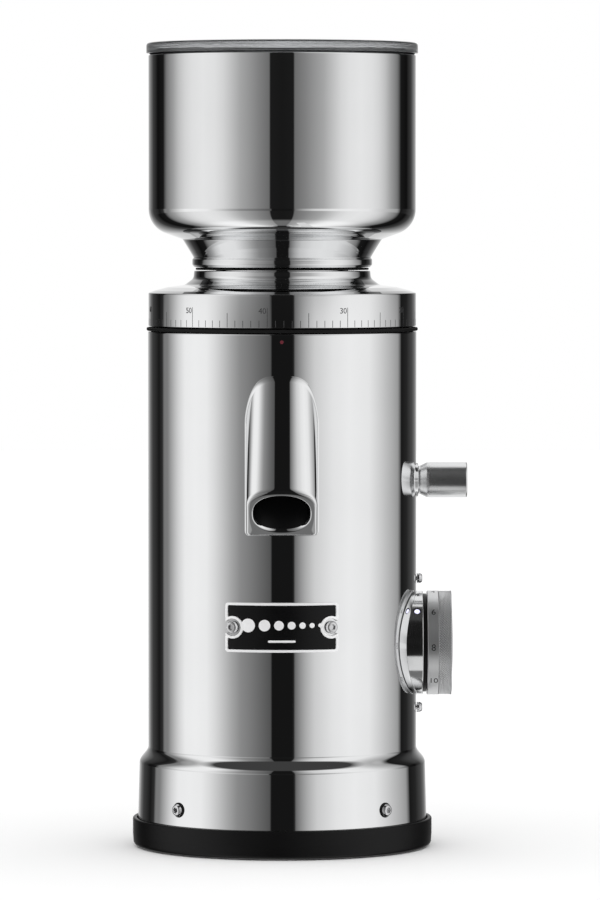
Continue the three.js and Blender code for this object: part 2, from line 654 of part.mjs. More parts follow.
// ---- grinding chamber and what adjusts in it ----
function makeChamber() {
  const flangeRadius = shellInner - seatGap;
  const flangeLow = bodyTop - flangeThickness;
  const chamberInner = burrRadius + 6.3;
  const threadLow = upperCarrierBottom - 3;
  const bossLow = chamberFloorBottom - bearingWidth;
  const cup = turned([
    [bearingRadius + seatGap, bossLow], [bearingRadius + 4, bossLow], [bearingRadius + 4, chamberFloorBottom],
    [chamberRadius, chamberFloorBottom], [chamberRadius, flangeLow], [flangeRadius, flangeLow],
    [flangeRadius, bodyTop], [chamberBore, bodyTop], [chamberBore, threadLow], [chamberInner, threadLow],
    [chamberInner, chamberFloorTop], [spindleRadius + runGap, chamberFloorTop],
    [spindleRadius + runGap, chamberFloorBottom], [bearingRadius + seatGap, chamberFloorBottom],
  ]);
  const outlet = block([-chuteWidth / 2, chuteWidth / 2], [-chamberRadius - 5, -chamberInner + 3],
    [chamberFloorTop + 1, chamberFloorTop + 1 + chuteHeight]);
  place("grinding_chamber", cup.subtract(outlet), aluminium);
  place("upper_bearing", tube(bearingRadius, spindleRadius + spindleFit, bossLow, chamberFloorBottom - seatGap, smallSteps),
    brushedSteel);
  const chute = chuteSolid(chuteWidth / 2 + chuteWall, chuteHeight / 2 + chuteWall, -1);
  const chuteHole = chuteSolid(chuteWidth / 2, chuteHeight / 2, 20);
  const chamberBar = bar(chamberRadius + seatGap, 0, bodyTop, roundSteps);
  place("exit_chute", cut(chute, [chuteHole, chamberBar]), blackPlastic);
  place("body_gasket", tube(bodyRadius + gasketProud, shellInner - 10, gasketBottom, gasketBottom + gasketHeight),
    blackRubber);
}

function keySolid(width, depth, low, high) {
  const outer = sleeveRadius + depth;
  return block([-outer, outer], [-width / 2, width / 2], [low, high]);
}

function makeAdjuster() {
  place("upper_burr", burrSolid(upperBurrBottom, -1), brushedSteel);
  const sleeveRoom = sleeveRadius + seatGap;
  const seatLevel = sleeveBottom - 2 * runGap;
  const carrier = turned([
    [burrEye + 1, upperCarrierBottom], [chamberBore - seatGap, upperCarrierBottom],
    [chamberBore - seatGap, upperCarrierTop], [sleeveRoom, upperCarrierTop],
    [sleeveRoom, seatLevel], [throatRadius - 2, seatLevel],
  ]);
  const keyRoom = keySolid(keyWidth + 2 * seatGap, keyDepth + seatGap, seatLevel, bodyTop);
  place("upper_burr_carrier", carrier.subtract(keyRoom), brass);

  const ringRadius = bodyRadius - ringInset;
  const roof = ringTop - ringWall;
  const waist = collarRadius + 4;
  const flare = [0, 0.25, 0.5, 0.75, 1].map((share) => {
    const ease = (1 - share) ** 2.4;
    return [collarRadius + (waist - collarRadius) * ease, shoulderTop + collarHeight * 0.75 * share];
  });
  const ring = turned([
    [throatRadius, sleeveBottom], [sleeveRadius, sleeveBottom], [sleeveRadius, roof],
    [ringRadius - ringWall, roof], [ringRadius - ringWall, ringBottom], [ringRadius, ringBottom],
    [ringRadius, ringTop - 0.4], [ringRadius - 0.4, ringTop], [ringRadius - 3.2, ringTop + shoulderRise * 0.4],
    [ringRadius - 8, ringTop + shoulderRise * 0.7], ...flare, [collarRadius, collarTop], [throatRadius, collarTop],
  ]);
  const keys = keySolid(keyWidth, keyDepth, sleeveBottom, sleeveBottom + 6);
  const keyRing = keys.subtract(bar(sleeveRadius - 1, 0, bodyTop + 40));
  place("scale_ring", ring.add(keyRing), polishedSteel);
}

// ---- hopper and lid ----
// The bowl's curve from the neck up to the straight wall.
function bowlProfile(offset) {
  const points = [];
  const steps = 6;
  const span = hopperRadius - neckRadius;
  for (let index = 0; index <= steps; index += 1) {
    const angle = (index / steps) * (Math.PI / 2);
    const radius = neckRadius + span * Math.sin(angle) ** 0.85;
    const height = neckBottom + neckHeight + bowlRise * (1 - Math.cos(angle) ** 1.1);
    points.push([radius - offset, height + offset * Math.cos(angle)]);
  }
  return points;
}

function makeHopper() {
  const spigotOuter = throatRadius - seatGap;
  const spigotInner = spigotOuter - spigotWall;
  const spigotBottom = neckBottom - spigotDepth;
  const outside = [
    [spigotOuter, spigotBottom], [spigotOuter, neckBottom], [neckRadius - 0.8, neckBottom],
    [neckRadius + 0.3, neckBottom + neckHeight * 0.5], ...bowlProfile(0), [hopperRadius, rimLevel],
  ];
  const inside = [
    [spigotInner, spigotBottom], [spigotInner, neckBottom + hopperWall], ...bowlProfile(hopperWall),
    [hopperRadius - hopperWall, rimLevel],
  ];
  place("hopper", turned([...outside, ...inside.reverse()]), polishedSteel);
  place("hopper_seal", tube(collarRadius - 0.6, throatRadius + 1, sealBottom, sealBottom + sealHeight), blackRubber);
  const plugRadius = hopperRadius - hopperWall - 2;
  place("lid_seal", tube(hopperRadius - 0.3, plugRadius + seatGap, lidSealBottom, lidSealBottom + sealHeight),
    blackRubber);
  const lidTop = lidBottom + lidThickness;
  place("hopper_lid", turned([
    [0, lidBottom], [plugRadius - lidPlugWall, lidBottom], [plugRadius - lidPlugWall, lidBottom - lidPlugDepth],
    [plugRadius, lidBottom - lidPlugDepth], [plugRadius, lidBottom], [lidRadius - 0.8, lidBottom],
    [lidRadius, lidBottom + 0.8], [lidRadius, lidTop - 1], [lidRadius - 1, lidTop], [0, lidTop],
  ]), smokedGlass);
}

makeBase();
makeShell();
makeScrews();
makeNameplate();
makeSpout();
makeDial();
makeLever();
makeGland();
makeFrame();
makeMotor();
makeGearStage();
makeChamber();
makeAdjuster();
makeHopper();

export default grinder;
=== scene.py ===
import math

import bpy
from mathutils import Matrix, Vector


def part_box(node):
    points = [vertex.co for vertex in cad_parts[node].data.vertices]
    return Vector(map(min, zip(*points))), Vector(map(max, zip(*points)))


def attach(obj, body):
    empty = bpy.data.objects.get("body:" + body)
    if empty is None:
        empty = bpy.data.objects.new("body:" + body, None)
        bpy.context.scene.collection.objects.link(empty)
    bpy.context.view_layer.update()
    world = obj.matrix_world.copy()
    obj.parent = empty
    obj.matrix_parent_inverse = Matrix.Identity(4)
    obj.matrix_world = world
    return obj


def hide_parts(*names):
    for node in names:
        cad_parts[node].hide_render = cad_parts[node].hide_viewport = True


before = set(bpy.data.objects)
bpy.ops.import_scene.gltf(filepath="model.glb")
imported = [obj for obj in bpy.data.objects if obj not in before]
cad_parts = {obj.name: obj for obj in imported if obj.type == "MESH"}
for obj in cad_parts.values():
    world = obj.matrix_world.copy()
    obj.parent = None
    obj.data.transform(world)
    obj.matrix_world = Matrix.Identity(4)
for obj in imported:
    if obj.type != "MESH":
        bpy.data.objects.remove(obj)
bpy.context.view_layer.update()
mm = 0.001  # every size below is in millimetres
roundSteps = 192
smallSteps = 96


def lowOf(node):
    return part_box(node)[0] / mm


def highOf(node):
    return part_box(node)[1] / mm


# Modelling by hand, in a few calls.
def startAfresh():
    if bpy.context.mode != "OBJECT":
        bpy.ops.object.mode_set(mode="OBJECT")
    bpy.ops.object.select_all(action="DESELECT")


def pickUp(piece):
    startAfresh()
    piece.select_set(True)
    bpy.context.view_layer.objects.active = piece
    return piece


def smooth(piece, angle=32):
    pickUp(piece)
    bpy.ops.object.shade_smooth_by_angle(angle=math.radians(angle))
    return piece


# The outline with each (across, up, corner radius) corner rounded, and points near the
# ends of long straights, so that the shading stays flat along them.
def rounded(corners, closed=False, arcStep=9, hold=0.25):
    places = [Vector(corner[:2]) for corner in corners]
    radii = [corner[2] if len(corner) > 2 else 0 for corner in corners]
    count = len(places)
    outline = []
    for index, place in enumerate(places):
        before = places[index - 1] - place
        after = places[(index + 1) % count] - place
        atEnd = not closed and index in (0, count - 1)
        if atEnd or radii[index] == 0:
            outline.append(place)
            continue
        half = before.angle(after) / 2
        reach = radii[index] / math.tan(half)
        reach = min(reach, before.length * 0.499, after.length * 0.499)
        radius = reach * math.tan(half)
        first = place + before.normalized() * reach
        last = place + after.normalized() * reach
        centre = place + (before.normalized() + after.normalized()).normalized() * radius / math.sin(half)
        turn = math.pi - 2 * half
        steps = max(2, round(math.degrees(turn) / arcStep))
        for step in range(steps + 1):
            share = step / steps
            arm = (first - centre).slerp(last - centre, share)
            outline.append(centre + arm.normalized() * radius)
    held = []
    for index, place in enumerate(outline):
        if index or closed:
            stretch = place - outline[index - 1]
            if stretch.length > 4 * hold:
                held.append(outline[index - 1] + stretch.normalized() * hold)
                held.append(place - stretch.normalized() * hold)
        held.append(place)
    return held


# A chain of edges through the outline's points, left in edit mode.
def drawOutline(name, outline, flat="xz"):
    startAfresh()
    bpy.ops.mesh.primitive_plane_add(size=mm, location=(0, 0, 0))
    piece = bpy.context.object
    piece.name = name
    bpy.ops.object.mode_set(mode="EDIT")
    bpy.ops.mesh.select_all(action="SELECT")
    bpy.ops.mesh.merge(type="CENTER")

    def move(step):
        return (step.x * mm, 0, step.y * mm) if flat == "xz" else (step.x * mm, step.y * mm, 0)

    bpy.ops.transform.translate(value=move(outline[0]))
    for here, there in zip(outline, outline[1:]):
        bpy.ops.mesh.extrude_vertices_move(TRANSFORM_OT_translate={"value": move(there - here)})
    return piece


def tidyMesh(angle=32):
    bpy.ops.mesh.select_all(action="SELECT")
    bpy.ops.mesh.remove_doubles(threshold=mm * 0.001)
    bpy.ops.mesh.normals_make_consistent(inside=False)
    bpy.ops.object.mode_set(mode="OBJECT")
    return smooth(bpy.context.object, angle)


# A piece turned about the upright axis. An outline off the axis closes on itself.
def turned(name, corners, steps=roundSteps, arcStep=9):
    onAxis = corners[0][0] == 0 and corners[-1][0] == 0
    outline = rounded(corners, closed=not onAxis, arcStep=arcStep)
    if not onAxis:
        outline.append(outline[0])
    drawOutline(name, outline)
    bpy.ops.mesh.select_all(action="SELECT")
    bpy.ops.mesh.spin(steps=steps, angle=math.tau, center=(0, 0, 0), axis=(0, 0, 1))
    return tidyMesh()


def placed(piece, matrix):
    piece.data.transform(matrix)
    piece.data.update()
    return piece


# Lays what was turned about Z along +X, at the control line.
def sideways(piece, level):
    along = Matrix.Rotation(math.pi / 2, 4, "Y")
    return placed(piece, Matrix.Translation((0, controls["line"] * mm, level * mm)) @ along)


# Lays what was turned about Z along the radius at an angle, 0 at the front, + to the right.
def radial(piece, angle, level):
    forward = Matrix.Rotation(math.pi / 2, 4, "X")
    aim = Matrix.Rotation(math.radians(angle), 4, "Z")
    return placed(piece, Matrix.Translation((0, 0, level * mm)) @ aim @ forward)


def finishModifier(piece, kind, **values):
    pickUp(piece)
    modifier = piece.modifiers.new(kind.title(), kind)
    for key, value in values.items():
        setattr(modifier, key, value)
    bpy.ops.object.modifier_apply(modifier=modifier.name)
    return piece


def cutWith(piece, tool, operation="DIFFERENCE"):
    finishModifier(piece, "BOOLEAN", operation=operation, object=tool, solver="EXACT")
    bpy.data.objects.remove(tool)
    return piece


def softenEdges(piece, width, angle=40, segments=3):
    return finishModifier(piece, "BEVEL", width=width * mm, segments=segments,
        limit_method="ANGLE", angle_limit=math.radians(angle), harden_normals=False)


def barTool(radius, low, high, steps=smallSteps):
    return turned("tool", [(0, low), (radius, low), (radius, high), (0, high)], steps)


# A flat shape from a closed outline, pushed up to a thickness.
def plateFrom(name, outline, thickness):
    piece = drawOutline(name, outline, flat="xy")
    bpy.ops.mesh.select_all(action="SELECT")
    bpy.ops.mesh.edge_face_add()
    bpy.ops.mesh.extrude_region_move(TRANSFORM_OT_translate={"value": (0, 0, thickness * mm)})
    tidyMesh()
    return piece


# Upright cuts every few millimetres, so that a flat shape can follow the body's curve.
def sliced(piece, spacing):
    pickUp(piece)
    reach = max(abs(vertex.co.x) for vertex in piece.data.vertices) / mm
    bpy.ops.object.mode_set(mode="EDIT")
    count = int(2 * reach / spacing)
    for index in range(1, count):
        across = -reach + 2 * reach * index / count
        bpy.ops.mesh.select_all(action="SELECT")
        bpy.ops.mesh.bisect(plane_co=(across * mm, 0, 0), plane_no=(1, 0, 0))
    bpy.ops.object.mode_set(mode="OBJECT")
    return piece


# x becomes the way round the body from its front, y the height, z the radius.
def wrapped(piece, radius, level):
    for vertex in piece.data.vertices:
        angle = vertex.co.x / (radius * mm)
        reach = radius * mm + vertex.co.z
        vertex.co = (reach * math.sin(angle), -reach * math.cos(angle), level * mm + vertex.co.y)
    pickUp(piece)
    bpy.ops.object.mode_set(mode="EDIT")
    return tidyMesh()


def joined(name, parts):
    pickUp(parts[0])
    for part in parts:
        part.select_set(True)
    if len(parts) > 1:
        bpy.ops.object.join()
    whole = bpy.context.object
    whole.name = name
    return whole


def wordMesh(words, height, depth):
    startAfresh()
    bpy.ops.object.text_add(location=(0, 0, 0))
    label = bpy.context.object
    label.data.body = words
    label.data.size = height * mm / 0.7
    label.data.align_x = "CENTER"
    label.data.align_y = "CENTER"
    label.data.extrude = depth * mm / 2
    label.data.resolution_u = 4
    pickUp(label)
    bpy.ops.object.convert(target="MESH")
    label = bpy.context.object
    bpy.ops.object.mode_set(mode="EDIT")
    return tidyMesh()


def given(piece, body, slotName, material, *nodes):
    piece.data.materials.clear()
    piece.data.materials.append(material)
    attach(piece, body)
    if nodes:
        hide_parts(*nodes)
    return piece


# Finishes.
class Value:
    def __init__(self, finish, socket):
        self.finish = finish
        self.socket = socket

    def sum(self, operation, first, second=None):
        inputs = {0: first} if second is None else {0: first, 1: second}
        return self.finish.node("ShaderNodeMath", {"operation": operation}, inputs)

    def __add__(self, other):
        return self.sum("ADD", self, other)

    def __radd__(self, other):
        return self.sum("ADD", other, self)

    def __sub__(self, other):
        return self.sum("SUBTRACT", self, other)

    def __rsub__(self, other):
        return self.sum("SUBTRACT", other, self)

    def __mul__(self, other):
        return self.sum("MULTIPLY", self, other)

    def __rmul__(self, other):
        return self.sum("MULTIPLY", other, self)

    def __truediv__(self, other):
        return self.sum("DIVIDE", self, other)


class Finish:
    def __init__(self, holder):
        holder.use_nodes = True
        self.tree = holder.node_tree
        self.holder = holder

    def node(self, kind, settings=None, inputs=None, output=0):
        made = self.tree.nodes.new(kind)
        for key, value in (settings or {}).items():
            if key == "stops":
                self.setStops(made.color_ramp, value)
            else:
                setattr(made, key, value)
        self.fill(made, inputs or {})
        return Value(self, made.outputs[output])

    def setStops(self, ramp, stops):
        while len(ramp.elements) < len(stops):
            ramp.elements.new(1)
        for element, (place, shade) in zip(ramp.elements, stops):
            element.position = place
            element.color = (*shade, 1) if isinstance(shade, tuple) else (shade, shade, shade, 1)

    def fill(self, made, inputs):
        for key, value in inputs.items():
            if isinstance(value, Value):
                self.tree.links.new(value.socket, made.inputs[key])
            else:
                made.inputs[key].default_value = value

    def place(self, scale=(1, 1, 1)):
        spot = self.node("ShaderNodeTexCoord", output="Object")
        return self.node("ShaderNodeMapping", inputs={"Vector": spot, "Scale": scale})

    def noise(self, vector, scale, detail=4, rough=0.55):
        return self.node("ShaderNodeTexNoise", inputs={"Vector": vector, "Scale": scale,
            "Detail": detail, "Roughness": rough})

    def spread(self, value, low, high, lowest=0.3, highest=0.7):
        return self.node("ShaderNodeMapRange", inputs={"Value": value, "From Min": lowest,
            "From Max": highest, "To Min": low, "To Max": high})

    def blend(self, factor, first, second):
        return self.node("ShaderNodeMix", {"data_type": "RGBA"},
            {"Factor": factor, 6: first, 7: second}, output=2)

    def bump(self, height, strength, distance):
        return self.node("ShaderNodeBump", inputs={"Height": height, "Strength": strength,
            "Distance": distance * mm})

    def shade(self, **values):
        shader = self.tree.nodes["Principled BSDF"]
        self.fill(shader, {key.replace("_", " ").title().replace("Ior", "IOR"): value
            for key, value in values.items()})
        return self.holder


def newFinish(name):
    return Finish(bpy.data.materials.new(name))


def tone(red, green, blue):
    return (red, green, blue, 1)


# Turned, polished steel: near mirror, with hairlines round the axis and faint handling marks.
def polishedSteel(name, base, gloss, hairline, along):
    finish = newFinish(name)
    scale = {"z": (6, 6, 900), "x": (900, 6, 6)}[along]
    lines = finish.noise(finish.place(scale), 1.0, 3)
    marks = finish.noise(finish.place(), 22.0, 5)
    roughness = finish.spread(marks, gloss[0], gloss[1])
    colour = finish.blend(finish.spread(marks, 0, 1), tone(*base), tone(*[part * 0.965 for part in base]))
    return finish.shade(metallic=1.0, base_color=colour, roughness=roughness,
        normal=finish.bump(lines, hairline, 0.01))


# Moulded plastic or rubber: near black, with a fine grain and dust-soft highlights.
def mouldedBlack(name, base, rough, grain, depth, specular=0.2):
    finish = newFinish(name)
    speckle = finish.noise(finish.place(), grain, 4)
    cloud = finish.noise(finish.place(), 18.0, 3)
    colour = finish.blend(finish.spread(cloud, 0, 1), tone(*base), tone(*[part * 1.6 for part in base]))
    return finish.shade(base_color=colour, roughness=finish.spread(cloud, rough[0], rough[1]),
        specular_ior_level=specular, normal=finish.bump(speckle, depth, 0.05))


# Machined or cast metal for what is inside.
def workedMetal(name, base, rough, grain, depth, stretch=(1, 1, 1)):
    finish = newFinish(name)
    surface = finish.noise(finish.place(stretch), grain, 5)
    cloud = finish.noise(finish.place(), 30.0, 4)
    colour = finish.blend(finish.spread(cloud, 0, 1), tone(*base), tone(*[part * 0.82 for part in base]))
    return finish.shade(metallic=1.0, base_color=colour, roughness=finish.spread(surface, rough[0], rough[1]),
        normal=finish.bump(surface, depth, 0.05))


def enamel(name, base, rough, coat=0.4, specular=0.5):
    finish = newFinish(name)
    peel = finish.noise(finish.place(), 700.0, 2)
    cloud = finish.noise(finish.place(), 60.0, 3)
    colour = finish.blend(finish.spread(cloud, 0, 1), tone(*base), tone(*[part * 1.35 for part in base]))
    return finish.shade(base_color=colour, roughness=finish.spread(cloud, rough[0], rough[1]),
        coat_weight=coat, specular_ior_level=specular, normal=finish.bump(peel, 0.05, 0.02))


# Bright trim: pale metal paint that stays light whatever it reflects; its near-white colour is a painted
# highlight, standing in for the light that a rounded polished border catches.
def brightTrim(name):
    finish = newFinish(name)
    cloud = finish.noise(finish.place(), 60.0, 3)
    colour = finish.blend(finish.spread(cloud, 0, 1), tone(0.95, 0.95, 0.95), tone(0.9, 0.9, 0.91))
    return finish.shade(metallic=0.35, base_color=colour, roughness=finish.spread(cloud, 0.36, 0.44))


# Smoke-tinted clear lid, a little uneven as moulded lids are.
def smokedClear(name):
    finish = newFinish(name)
    wave = finish.noise(finish.place(), 120.0, 2)
    cloud = finish.noise(finish.place(), 45.0, 3)
    colour = finish.blend(finish.spread(cloud, 0, 1), tone(0.42, 0.43, 0.44), tone(0.5, 0.51, 0.52))
    return finish.shade(base_color=colour, roughness=finish.spread(cloud, 0.03, 0.09),
        transmission_weight=0.9, ior=1.49, normal=finish.bump(wave, 0.25, 0.25))


def litLens(name):
    finish = newFinish(name)
    cloud = finish.noise(finish.place(), 900.0, 2)
    colour = finish.blend(finish.spread(cloud, 0, 1), tone(0.42, 0.40, 0.95), tone(0.9, 0.9, 1.0))
    return finish.shade(base_color=tone(0.8, 0.8, 0.95), roughness=0.2, emission_color=colour,
        emission_strength=0.6)


def circuitGreen(name):
    finish = newFinish(name)
    cells = finish.node("ShaderNodeTexVoronoi", {"distance": "CHEBYCHEV"},
        {"Vector": finish.place(), "Scale": 260.0})
    tracks = finish.spread(cells, 0, 1, 0.30, 0.34)
    colour = finish.blend(tracks, tone(0.012, 0.09, 0.035), tone(0.03, 0.17, 0.07))
    return finish.shade(base_color=colour, roughness=finish.spread(tracks, 0.35, 0.5, 0, 1))


steelBase = (0.90, 0.905, 0.91)
steel = polishedSteel("polishedSteel", steelBase, (0.012, 0.03), 0.008, "z")
leverSteel = polishedSteel("leverSteel", steelBase, (0.24, 0.30), 0.05, "x")
screwSteel = polishedSteel("screwSteel", (0.78, 0.78, 0.79), (0.10, 0.2), 0.05, "z")
satinAluminium = polishedSteel("satinAluminium", (0.86, 0.865, 0.87), (0.10, 0.16), 0.05, "x")
knobAluminium = polishedSteel("knobAluminium", (0.86, 0.865, 0.87), (0.34, 0.42), 0.12, "x")
engraving = enamel("engravedBlack", (0.008, 0.008, 0.009), (0.4, 0.55), 0)
scaleGrey = enamel("engravedGrey", (0.03, 0.03, 0.031), (0.4, 0.55), 0)
plateBlack = enamel("plateEnamel", (0.003, 0.003, 0.0033), (0.2, 0.28), 0, 0.25)
# the nameplate trim, whose near-white colour is a painted highlight
plateTrimPaintedHighlight = brightTrim("brightTrim")
plasticBlack = mouldedBlack("blackPlastic", (0.003, 0.003, 0.0032), (0.30, 0.42), 1500.0, 0.15)
rubberBlack = mouldedBlack("blackRubber", (0.004, 0.004, 0.004), (0.5, 0.65), 2200.0, 0.3)
redDot = enamel("redEnamel", (0.10, 0.012, 0.02), (0.35, 0.45), 0, 0.2)
lidSmoke = smokedClear("lidSmoke")
lampGlow = litLens("lampGlow")
machineSteel = workedMetal("machineSteel", (0.52, 0.52, 0.53), (0.25, 0.42), 500.0, 0.08, (1, 1, 12))
castAluminium = workedMetal("castAluminium", (0.62, 0.63, 0.64), (0.4, 0.6), 900.0, 0.3)
brass = workedMetal("brass", (0.68, 0.47, 0.18), (0.24, 0.4), 600.0, 0.08, (1, 1, 12))
boardGreen = circuitGreen("circuitBoard")
print("finishes made")


# Base: a black moulded ring round the foot, on a rubber pad.
base = {"rimInner": 60.6, "rimUp": 3.75, "ledge": 8.0, "edge": 2.0, "wall": 3.0, "floor": 3.0,
    "padGroove": 1.0, "padGap": 0.3}


def makeBase():
    low = lowOf("base_tray").z
    outer = highOf("base_tray").x
    upstandTop = highOf("base_tray").z
    shellFoot = lowOf("outer_body").z
    rim = shellFoot + base["rimUp"]
    upstand = highOf("outer_body").x - 1.5
    padRadius = highOf("base_pad").x
    padTop = highOf("base_pad").z
    under = padTop + base["padGap"]
    tray = turned("baseTray", [
        (0, under), (padRadius + base["padGap"], under), (padRadius + base["padGap"], low, 0.3),
        (outer - 0.35, low, base["edge"]), (outer, low + 5.0, 1.5), (outer, rim, 0.7),
        (base["rimInner"], rim, 0.35), (base["rimInner"], base["ledge"], 0.3),
        (upstand, base["ledge"]), (upstand, upstandTop, 0.4), (upstand - base["wall"], upstandTop, 0.4),
        (upstand - base["wall"], under + base["floor"], 1), (0, under + base["floor"]),
    ])
    given(tray, "housing", "black_plastic", plasticBlack, "base_tray")
    groove = base["padGroove"]
    steps = [(0, 0)]
    for ring in (padRadius * 0.45, padRadius * 0.7, padRadius * 0.9):
        steps += [(ring - groove, 0, 0.2), (ring - groove, groove * 0.6)]
        steps += [(ring, groove * 0.6), (ring, 0, 0.2)]
    pad = turned("basePad", steps + [(padRadius, 0, 0.5), (padRadius, padTop, 0.2), (0, padTop)])
    given(pad, "housing", "black_rubber", rubberBlack, "base_pad")


# Body shell: a spun tube on a flared skirt.
shell = {"wall": 1.2, "tube": 55.8, "skirtTopRadius": 59.5, "skirtTop": 34.9, "flareTop": 41.7,
    "edge": 0.35, "leverHole": 6.9, "dialHole": 6.8, "cutHold": 10, "flareSteps": 20, "topUp": 1.1}


def makeShell():
    foot = lowOf("outer_body").z
    top = highOf("outer_body").z + shell["topUp"]
    footRadius = highOf("outer_body").x
    wall = shell["wall"]
    tube = shell["tube"]
    rise = shell["flareTop"] - shell["skirtTop"]
    drop = shell["skirtTopRadius"] - tube

    # the flare is an S: out of the tube, then over into the skirt
    def flare(offset):
        places = []
        for step in range(shell["flareSteps"] + 1):
            share = step / shell["flareSteps"]
            out = drop * (1 - math.cos(math.pi * share)) / 2
            places.append((tube + out + offset, shell["flareTop"] - rise * share))
        return places

    def levels(radius):
        marks = [leverLevel - shell["cutHold"], leverLevel + shell["cutHold"]]
        marks += [dialLevel - shell["cutHold"], dialLevel + shell["cutHold"]]
        return [(radius, level) for level in sorted(marks, reverse=True)]

    leverLevel = (lowOf("lever_bezel").z + highOf("lever_bezel").z) / 2
    dialLevel = (lowOf("dial_knob").z + highOf("dial_knob").z) / 2
    outside = [(tube, top, shell["edge"]), *levels(tube), *flare(0), (footRadius, foot, 0.3)]
    inside = [(footRadius - wall, foot), *reversed(flare(-wall)), *reversed(levels(tube - wall))]
    inside.append((tube - wall, top))
    body = turned("outerBody", outside + inside)
    cutWith(body, sideways(barTool(shell["leverHole"], tube - 15, tube + 8), leverLevel))
    cutWith(body, sideways(barTool(shell["dialHole"], tube - 15, tube + 8), dialLevel))
    smooth(body)
    given(body, "housing", "polished_steel", steel, "outer_body")
    mark = lowOf("index_mark") * 0.5 + highOf("index_mark") * 0.5
    dotRadius = (highOf("index_mark").x - lowOf("index_mark").x) / 2
    dot = turned("indexMark", [(0, tube - 0.6), (dotRadius, tube - 0.6), (dotRadius, tube + 0.12, 0.15),
        (0, tube + 0.2)], 32)
    given(radial(dot, 0, mark.z), "housing", "red_enamel", redDot, "index_mark")
    gasketLow = lowOf("body_gasket").z + shell["topUp"]
    gasketHigh = highOf("body_gasket").z
    gasketOuter = highOf("body_gasket").x
    gasket = turned("bodyGasket", [(tube - wall - 8, gasketLow), (gasketOuter, gasketLow, 0.7),
        (gasketOuter, gasketHigh, 0.7), (tube - wall - 8, gasketHigh)])
    given(gasket, "housing", "black_rubber", rubberBlack, "body_gasket")


# Adjusting ring: a hundred and one marks, numbered every ten from 0 to 90.
ring = {"wall": 3.0, "shoulder": 2.7, "waist": 40.6, "sleeveWall": 3.0, "throat": 27.0,
    "markWidth": 0.24, "markDepth": 0.3, "markProud": 0.012, "markFoot": 0.3, "numberHeight": 2.3,
    "short": 2.8, "middle": 5.9, "tall": 8.1, "zeroReading": 38.25, "markPitch": 3.5}


def makeRing():
    low = lowOf("body_gasket").z + 3.1
    top = highOf("scale_ring").z
    sleeveLow = lowOf("scale_ring").z
    outer = highOf("scale_ring").x
    band = low + 13.4
    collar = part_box("hopper_seal")[1].x / mm + 0.6
    throat = ring["throat"]
    sleeve = throat + ring["sleeveWall"]
    roof = band - ring["wall"]
    body = turned("scaleRing", [
        (throat, sleeveLow, 0.4), (sleeve, sleeveLow, 0.4), (sleeve, roof, 1.5),
        (outer - ring["wall"], roof, 1),
        (outer - ring["wall"], low, 0.2), (outer, low, 0.25), (outer, band + 0.3, 0.5),
        (outer - 2.6, band + 1.3, 2.5), (outer - 8.0, band + ring["shoulder"], 3),
        (ring["waist"], band + ring["shoulder"] + 0.9, 3.2), (collar + 0.3, top - 3.2, 2.4),
        (collar, top, 0.5), (throat, top, 0.6),
    ])
    given(body, "scale_ring", "polished_steel", steel, "scale_ring")

    foot = low + ring["markFoot"]
    marks = []
    for unit in range(101):
        height = ring["tall"] if unit % 10 == 0 else ring["middle"] if unit % 5 == 0 else ring["short"]
        startAfresh()
        bpy.ops.mesh.primitive_cube_add(size=mm)
        mark = bpy.context.object
        depth = ring["markDepth"] + ring["markProud"]
        placed(mark, Matrix.Diagonal((ring["markWidth"], depth, height, 1)))
        middle = outer + ring["markProud"] - depth / 2
        placed(mark, Matrix.Translation((0, -middle * mm, (foot + height / 2) * mm)))
        turn = math.radians((ring["zeroReading"] - unit) * ring["markPitch"])
        placed(mark, Matrix.Rotation(turn, 4, "Z"))
        marks.append(mark)
    for number in range(0, 100, 10):
        label = wordMesh(str(number), ring["numberHeight"], ring["markDepth"])
        stand = Matrix.Rotation(math.pi / 2, 4, "X")
        reach = outer + ring["markProud"] - ring["markDepth"] / 2
        up = foot + ring["tall"] - ring["numberHeight"] / 2 - 0.3
        placed(label, Matrix.Translation((-2.0 * mm, -reach * mm, up * mm)) @ stand)
        turn = math.radians((ring["zeroReading"] - number) * ring["markPitch"])
        placed(label, Matrix.Rotation(turn, 4, "Z"))
        marks.append(label)
    given(joined("scaleMarks", marks), "scale_ring", "black_plastic", scaleGrey)


# Hopper: spun steel bowl on a short neck, under a smoked lid.
bowl = {"wall": 1.5, "curve": 18.0, "curveCorner": 257.6, "neckCornerRadius": 41.4, "neckCorner": 252.6,
    "funnelRadius": 38.2, "funnelFoot": 247.4, "rim": 0.7}


